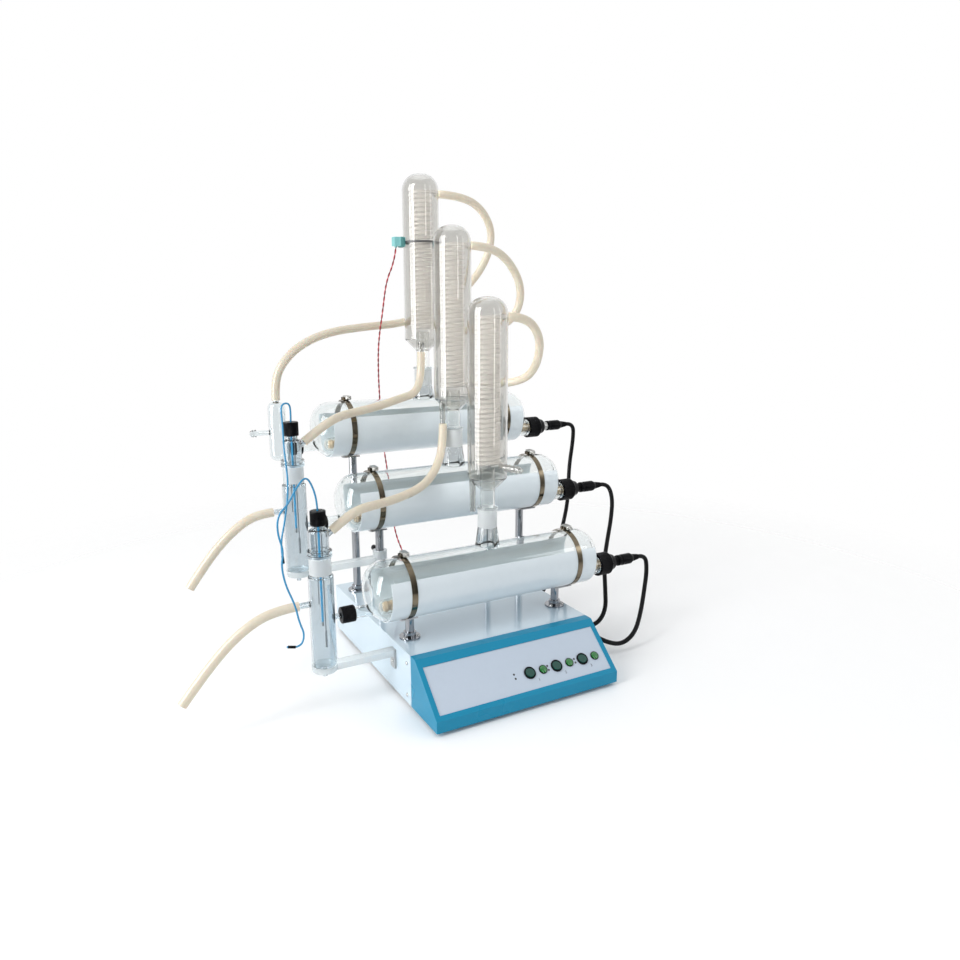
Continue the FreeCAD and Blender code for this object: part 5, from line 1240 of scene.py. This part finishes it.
class STILL_OT_controls(bpy.types.Operator):
    """Finishes the switches and lamps, and puts plain dots and numbers on the panel"""

    bl_idname = "still.controls"
    bl_label = "Controls"

    def execute(self, context):
        look = context.scene.still_cabinet
        dress("switch_housings", black_moulding())
        rocker = finish_of("Rocker", look.rocker, (0.02, 0.07, 0.05), amount=0.2, scale=90,
                           smooth=0.12, rough=0.24, grain=1500, depth=0.01)
        for number in (1, 2, 3):
            dress("rocker_%d" % number, rocker)
        self.lamps(look)
        self.dots()
        self.numbers()
        return {"FINISHED"}

    def lamps(self, look):
        """Domed lenses in thin rings: z = rise sqrt(1 - (r / ball) (r / ball)) over the ring."""
        lens = finish_of("Lamp lens", look.lens, [0.5 * part for part in look.lens], amount=0.35,
                         scale=200, smooth=0.06, rough=0.14, grain=700, depth=0.04, coat=0.6)
        rim, rise, ball = 0.0052, 0.0016, 0.0054
        r = np.linspace(0, rim, 9)[::-1]
        dome = np.stack([r, 0.0010 + rise * np.sqrt(np.clip(1 - (r / ball) ** 2, 0, 1))], 1)
        stem, stem_end, outer, top = 0.0039, -0.012, 0.0062, 0.0014
        outline = np.concatenate([[(0, stem_end), (stem, stem_end), (stem, 0.0), (rim, 0.0)],
                                  dome])
        ring = rounded([(rim, 0.0), (outer, 0.0), (outer, top, 0.0004), (rim, top, 0.0003)])
        lenses, rings = [], []
        for x in SWITCHES:
            seat = on_slope(x + LAMP_SHIFT, CONTROL_ROW, -0.001)
            lenses.append((lathe(outline, seat, OUT_OF_SLOPE, 40), False, False))
            rings.append((lathe(ring, seat, OUT_OF_SLOPE, 40), True, False))
        grid_piece("lamp_lenses", lenses, lens, ("indicator_lamps",))
        grid_piece("lamp_rings", rings, black_moulding())

    def dots(self):
        """Pairs of small printed dots beside each switch, 0.1 mm thick."""
        grids = []
        radius, thick = 0.0015, 0.0001
        outline = [(0, 0.0), (radius, 0.0), (radius, thick), (0, thick)]
        places = [(-0.0233, 0.0034), (-0.0233, -0.0026), (-0.0135, 0.0033), (-0.0136, -0.0028),
                  (-0.0123, 0.0030), (-0.0123, -0.0024)]
        for index, (across, up) in enumerate(places):
            seat = on_slope(SWITCHES[index // 2] + across, CONTROL_ROW + up, -0.00102)
            grids.append((lathe(outline, seat, OUT_OF_SLOPE, 18), False, False))
        ink = finish_of("Dot ink", (0.03, 0.03, 0.035), (0.06, 0.06, 0.07), amount=0.3, scale=200,
                        smooth=0.4, rough=0.55)
        grid_piece("panel_dots", grids, ink)

    def numbers(self):
        """Plain printed numbers below the switches, 0.1 mm thick."""
        ink = finish_of("Number ink", (0.035, 0.035, 0.04), (0.08, 0.08, 0.09), amount=0.3,
                        scale=200, smooth=0.4, rough=0.55)
        turn = Matrix.Rotation(SLOPE, 4, "X")
        for number, x in enumerate(SWITCHES, 1):
            words = bpy.data.curves.new("number", "FONT")
            words.body = str(number)
            words.size = 0.0055
            words.align_x = "CENTER"
            words.extrude = 0.00006
            holder = bpy.data.objects.new("number", words)
            mesh = bpy.data.meshes.new_from_object(holder)
            bpy.data.objects.remove(holder)
            bpy.data.curves.remove(words)
            mesh.transform(Matrix.Translation(on_slope(x + 0.010, 0.0165, -0.00097)) @ turn)
            piece("panel_number_%d" % number, mesh, ink)


# Metalwork and fittings

BAND_PLACES = (-0.122, 0.1415)
FLANGE_PLACES = (-0.1166, 0.1223)
FLANGE_SCREW_CIRCLE = 0.0114
FLANGE_TOP = 0.0795


class STILL_OT_metalwork(bpy.types.Operator):
    """Finishes the chromed posts, their flanges, the band clamps and the screws"""

    bl_idname = "still.metalwork"
    bl_label = "Metalwork"

    def execute(self, context):
        chrome = finish_of("Chrome", (0.33, 0.34, 0.36), (0.23, 0.24, 0.26), amount=0.2, scale=50,
                           smooth=0.06, rough=0.14, grain=600, depth=0.003, metallic=1.0)
        dress("support_posts", chrome)
        dress("post_flanges", chrome)
        # The bands' strong, slow dark mottle is partly painted reflection: its dark patches stand
        # in for the dark room mirrored in the polished steel, over the steel's own uneven tone.
        band = finish_of("Band steel", (0.25, 0.21, 0.15), (0.08, 0.065, 0.045), amount=0.6,
                         scale=26, smooth=0.08, rough=0.22, grain=500, depth=0.006, metallic=1.0)
        dress("band_clamps", band)
        self.worm_housings()
        self.screws()
        return {"FINISHED"}

    def worm_housings(self):
        """The plated housings that draw the bands tight, with a slotted screw in front."""
        plated = finish_of("Clamp plating", (0.56, 0.56, 0.54), (0.34, 0.33, 0.31), amount=0.4,
                           scale=120, smooth=0.22, rough=0.4, metallic=1.0)
        outline = rounded([(0, -0.0004), (0.0027, -0.0004), (0.0027, 0.0028, 0.0005),
                           (0.0, 0.0028)], 3)
        grids = []
        for x in BAND_PLACES:
            for tier in TIERS:
                top = (x, ROW[tier], LEVEL[tier] + 0.0462)
                grids.append((pad(top, (0.0046, 0.0086, 0.0031), 6.0), False, False))
                front = (x, ROW[tier] - 0.0084, LEVEL[tier] + 0.0464)
                head = lathe(outline, front, (0, -1, 0), 36)
                offset = head - np.array(front)
                slot = (np.abs(offset[..., 2]) < 0.0004) & (offset[..., 1] < -0.0022)
                head[..., 1] += np.where(slot, 0.0010, 0)
                grids.append((head, False, False))
        grid_piece("worm_housings", grids, plated)

    def screws(self):
        """Pan heads with a cross recess.

        The top is z = rise sqrt(1 - flatness (r / head) (r / head)), less a pit where the point
        lies within a slot's half width of either cross line and inside the recess radius.
        """
        nickel = finish_of("Screw nickel", (0.55, 0.55, 0.54), (0.3, 0.3, 0.3), amount=0.35,
                           scale=150, smooth=0.2, rough=0.36, metallic=1.0)
        places = []
        for x in FLANGE_PLACES:
            for tier in TIERS:
                for third in range(3):
                    angle = math.radians(90 + third * 120)
                    places.append(((x + FLANGE_SCREW_CIRCLE * math.cos(angle),
                                    ROW[tier] + FLANGE_SCREW_CIRCLE * math.sin(angle),
                                    FLANGE_TOP), UPWARDS))
        places.append(((-0.143, ROW["front"], LEVEL["front"] - 0.103), (-1, 0, 0)))
        for height in (0.017, 0.062):
            for side in (-1, 1):
                places.append(((side * CABINET_SIDE, -0.098, height), (side, 0, 0)))
        grids = []
        head, rise, flatness = 0.0024, 0.0018, 0.75
        r = np.linspace(0, head, 11)[::-1]
        top = np.stack([r, rise * np.sqrt(1 - flatness * (r / head) ** 2)], 1)
        outline = np.concatenate([[(0, 0), (head, 0)], top])
        for at, heading in places:
            grid = lathe(outline, at, heading, 32)
            u, v, w = axes(heading)
            flat = grid - np.array(at)
            across, along, height = flat @ u, flat @ v, flat @ w
            reach = np.hypot(across, along)
            slot = (np.minimum(np.abs(across), np.abs(along)) < 0.00032) & (reach < 0.0015)
            pit = np.where(slot & (height > 0.0003), 0.0008 * (1 - reach / 0.002), 0)
            grids.append((grid - pit[..., None] * w, False, False))
        grid_piece("screw_heads", grids, nickel, ("panhead_screws",),
                   angle=math.radians(50))


class STILL_OT_fittings(bpy.types.Operator):
    """Finishes the vessel strips, knob, electrodes, seals and the thermostat"""

    bl_idname = "still.fittings"
    bl_label = "Vessel fittings"

    def execute(self, context):
        acrylic = finish_of("Clear acrylic", (0.90, 0.94, 0.95), (0.80, 0.85, 0.87), amount=0.25,
                            scale=30, smooth=0.12, rough=0.24, grain=300, depth=0.02,
                            Transmission_Weight=0.55, IOR=1.49)
        merged_copy("vessel_strips", "strip_mouldings", acrylic, edge=0.0008)
        dress("collar_knob", black_moulding())
        dress("electrodes", self.electrode_finish())
        dress("neck_seals", finish_of("Seal silicone", (0.70, 0.66, 0.58), (0.55, 0.5, 0.42),
                                      amount=0.3, scale=90, smooth=0.35, rough=0.5,
                                      Subsurface_Weight=0.2, Subsurface_Scale=0.002))
        teal = finish_of("Teal moulding", (0.24, 0.60, 0.60), (0.10, 0.42, 0.43), amount=0.3,
                         scale=60, smooth=0.28, rough=0.42, grain=1200, depth=0.02)
        merged_copy("thermostat", "thermostat_case", teal, edge=0.0012)
        dark = finish_of("Dark teal moulding", (0.07, 0.29, 0.28), (0.03, 0.17, 0.17), amount=0.3,
                         scale=80, smooth=0.28, rough=0.42, grain=1200, depth=0.02)
        low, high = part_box("thermostat")
        middle = [(low[axis] + high[axis]) / 2 for axis in range(3)]
        holder = pad((high[0] - 0.0042, middle[1], middle[2] + 0.0004), (0.0040, 0.0071, 0.0078))
        grid_piece("thermostat_holder", [(holder, False, False)], dark)
        dress("thermostat_strap", finish_of("Strap nylon", (0.03, 0.03, 0.033), (0.08, 0.08, 0.085),
                                            amount=0.35, scale=120, smooth=0.35, rough=0.5))
        return {"FINISHED"}

    def electrode_finish(self):
        """Bare steel rods, with blue sleeving on the middle rod of each vessel."""
        material = finish_of("Electrode steel", (0.36, 0.37, 0.38), (0.2, 0.2, 0.2), amount=0.4,
                             scale=80, smooth=0.25, rough=0.4, metallic=1.0)
        tree = material.node_tree
        shader = tree.nodes["Principled BSDF"]
        steel = shader.inputs["Base Color"].links[0].from_socket
        masks = [effect(tree, "Ground band", Centre=(VESSEL_X, ROW[tier], LEVEL[tier]),
                        Radius=0.0020, Low=-0.026, High=0.11).outputs["Mask"]
                 for tier in VESSEL_TIERS]
        sleeved = arithmetic(tree, "MAXIMUM", masks[0], masks[1])
        tone = opaque(bpy.context.scene.still_hoses.lead_colour)
        tree.links.new(mixed(tree, sleeved, steel, tone), shader.inputs["Base Color"])
        tree.links.new(arithmetic(tree, "SUBTRACT", 1.0, sleeved), shader.inputs["Metallic"])
        return material


# Panel and registration

OPERATORS = (STILL_OT_stage, STILL_OT_hoses, STILL_OT_heater_cords, STILL_OT_leads,
             STILL_OT_glassware, STILL_OT_coils, STILL_OT_heaters, STILL_OT_screw_caps,
             STILL_OT_cabinet, STILL_OT_controls, STILL_OT_metalwork, STILL_OT_fittings)

SETTINGS = {"still_stage": StageSettings, "still_glass": GlassSettings,
            "still_hoses": HoseSettings, "still_caps": CapSettings,
            "still_cabinet": CabinetSettings}


class STILL_PT_panel(bpy.types.Panel):
    """Lists the steps that build and finish the distiller"""

    bl_idname = "STILL_PT_panel"
    bl_label = "Glass water distiller"
    bl_space_type = "VIEW_3D"
    bl_region_type = "UI"
    bl_category = "Still"

    def draw(self, context):
        for operator in OPERATORS:
            self.layout.operator(operator.bl_idname)
        for name in SETTINGS:
            box = self.layout.box()
            group = getattr(context.scene, name)
            for title in group.bl_rna.properties.keys():
                if title not in ("rna_type", "name"):
                    box.prop(group, title)


def register():
    """Makes the settings, the steps and the panel known."""
    for name, group in SETTINGS.items():
        bpy.utils.register_class(group)
        setattr(bpy.types.Scene, name, bpy.props.PointerProperty(type=group))
    for operator in OPERATORS:
        bpy.utils.register_class(operator)
    bpy.utils.register_class(STILL_PT_panel)


def unregister():
    """Takes them away again."""
    bpy.utils.unregister_class(STILL_PT_panel)
    for operator in reversed(OPERATORS):
        bpy.utils.unregister_class(operator)
    for name, group in SETTINGS.items():
        delattr(bpy.types.Scene, name)
        bpy.utils.unregister_class(group)


def main():
    register()
    for operator in OPERATORS:
        getattr(bpy.ops.still, operator.bl_idname.partition(".")[2])()


if __name__ == "__main__":
    main()
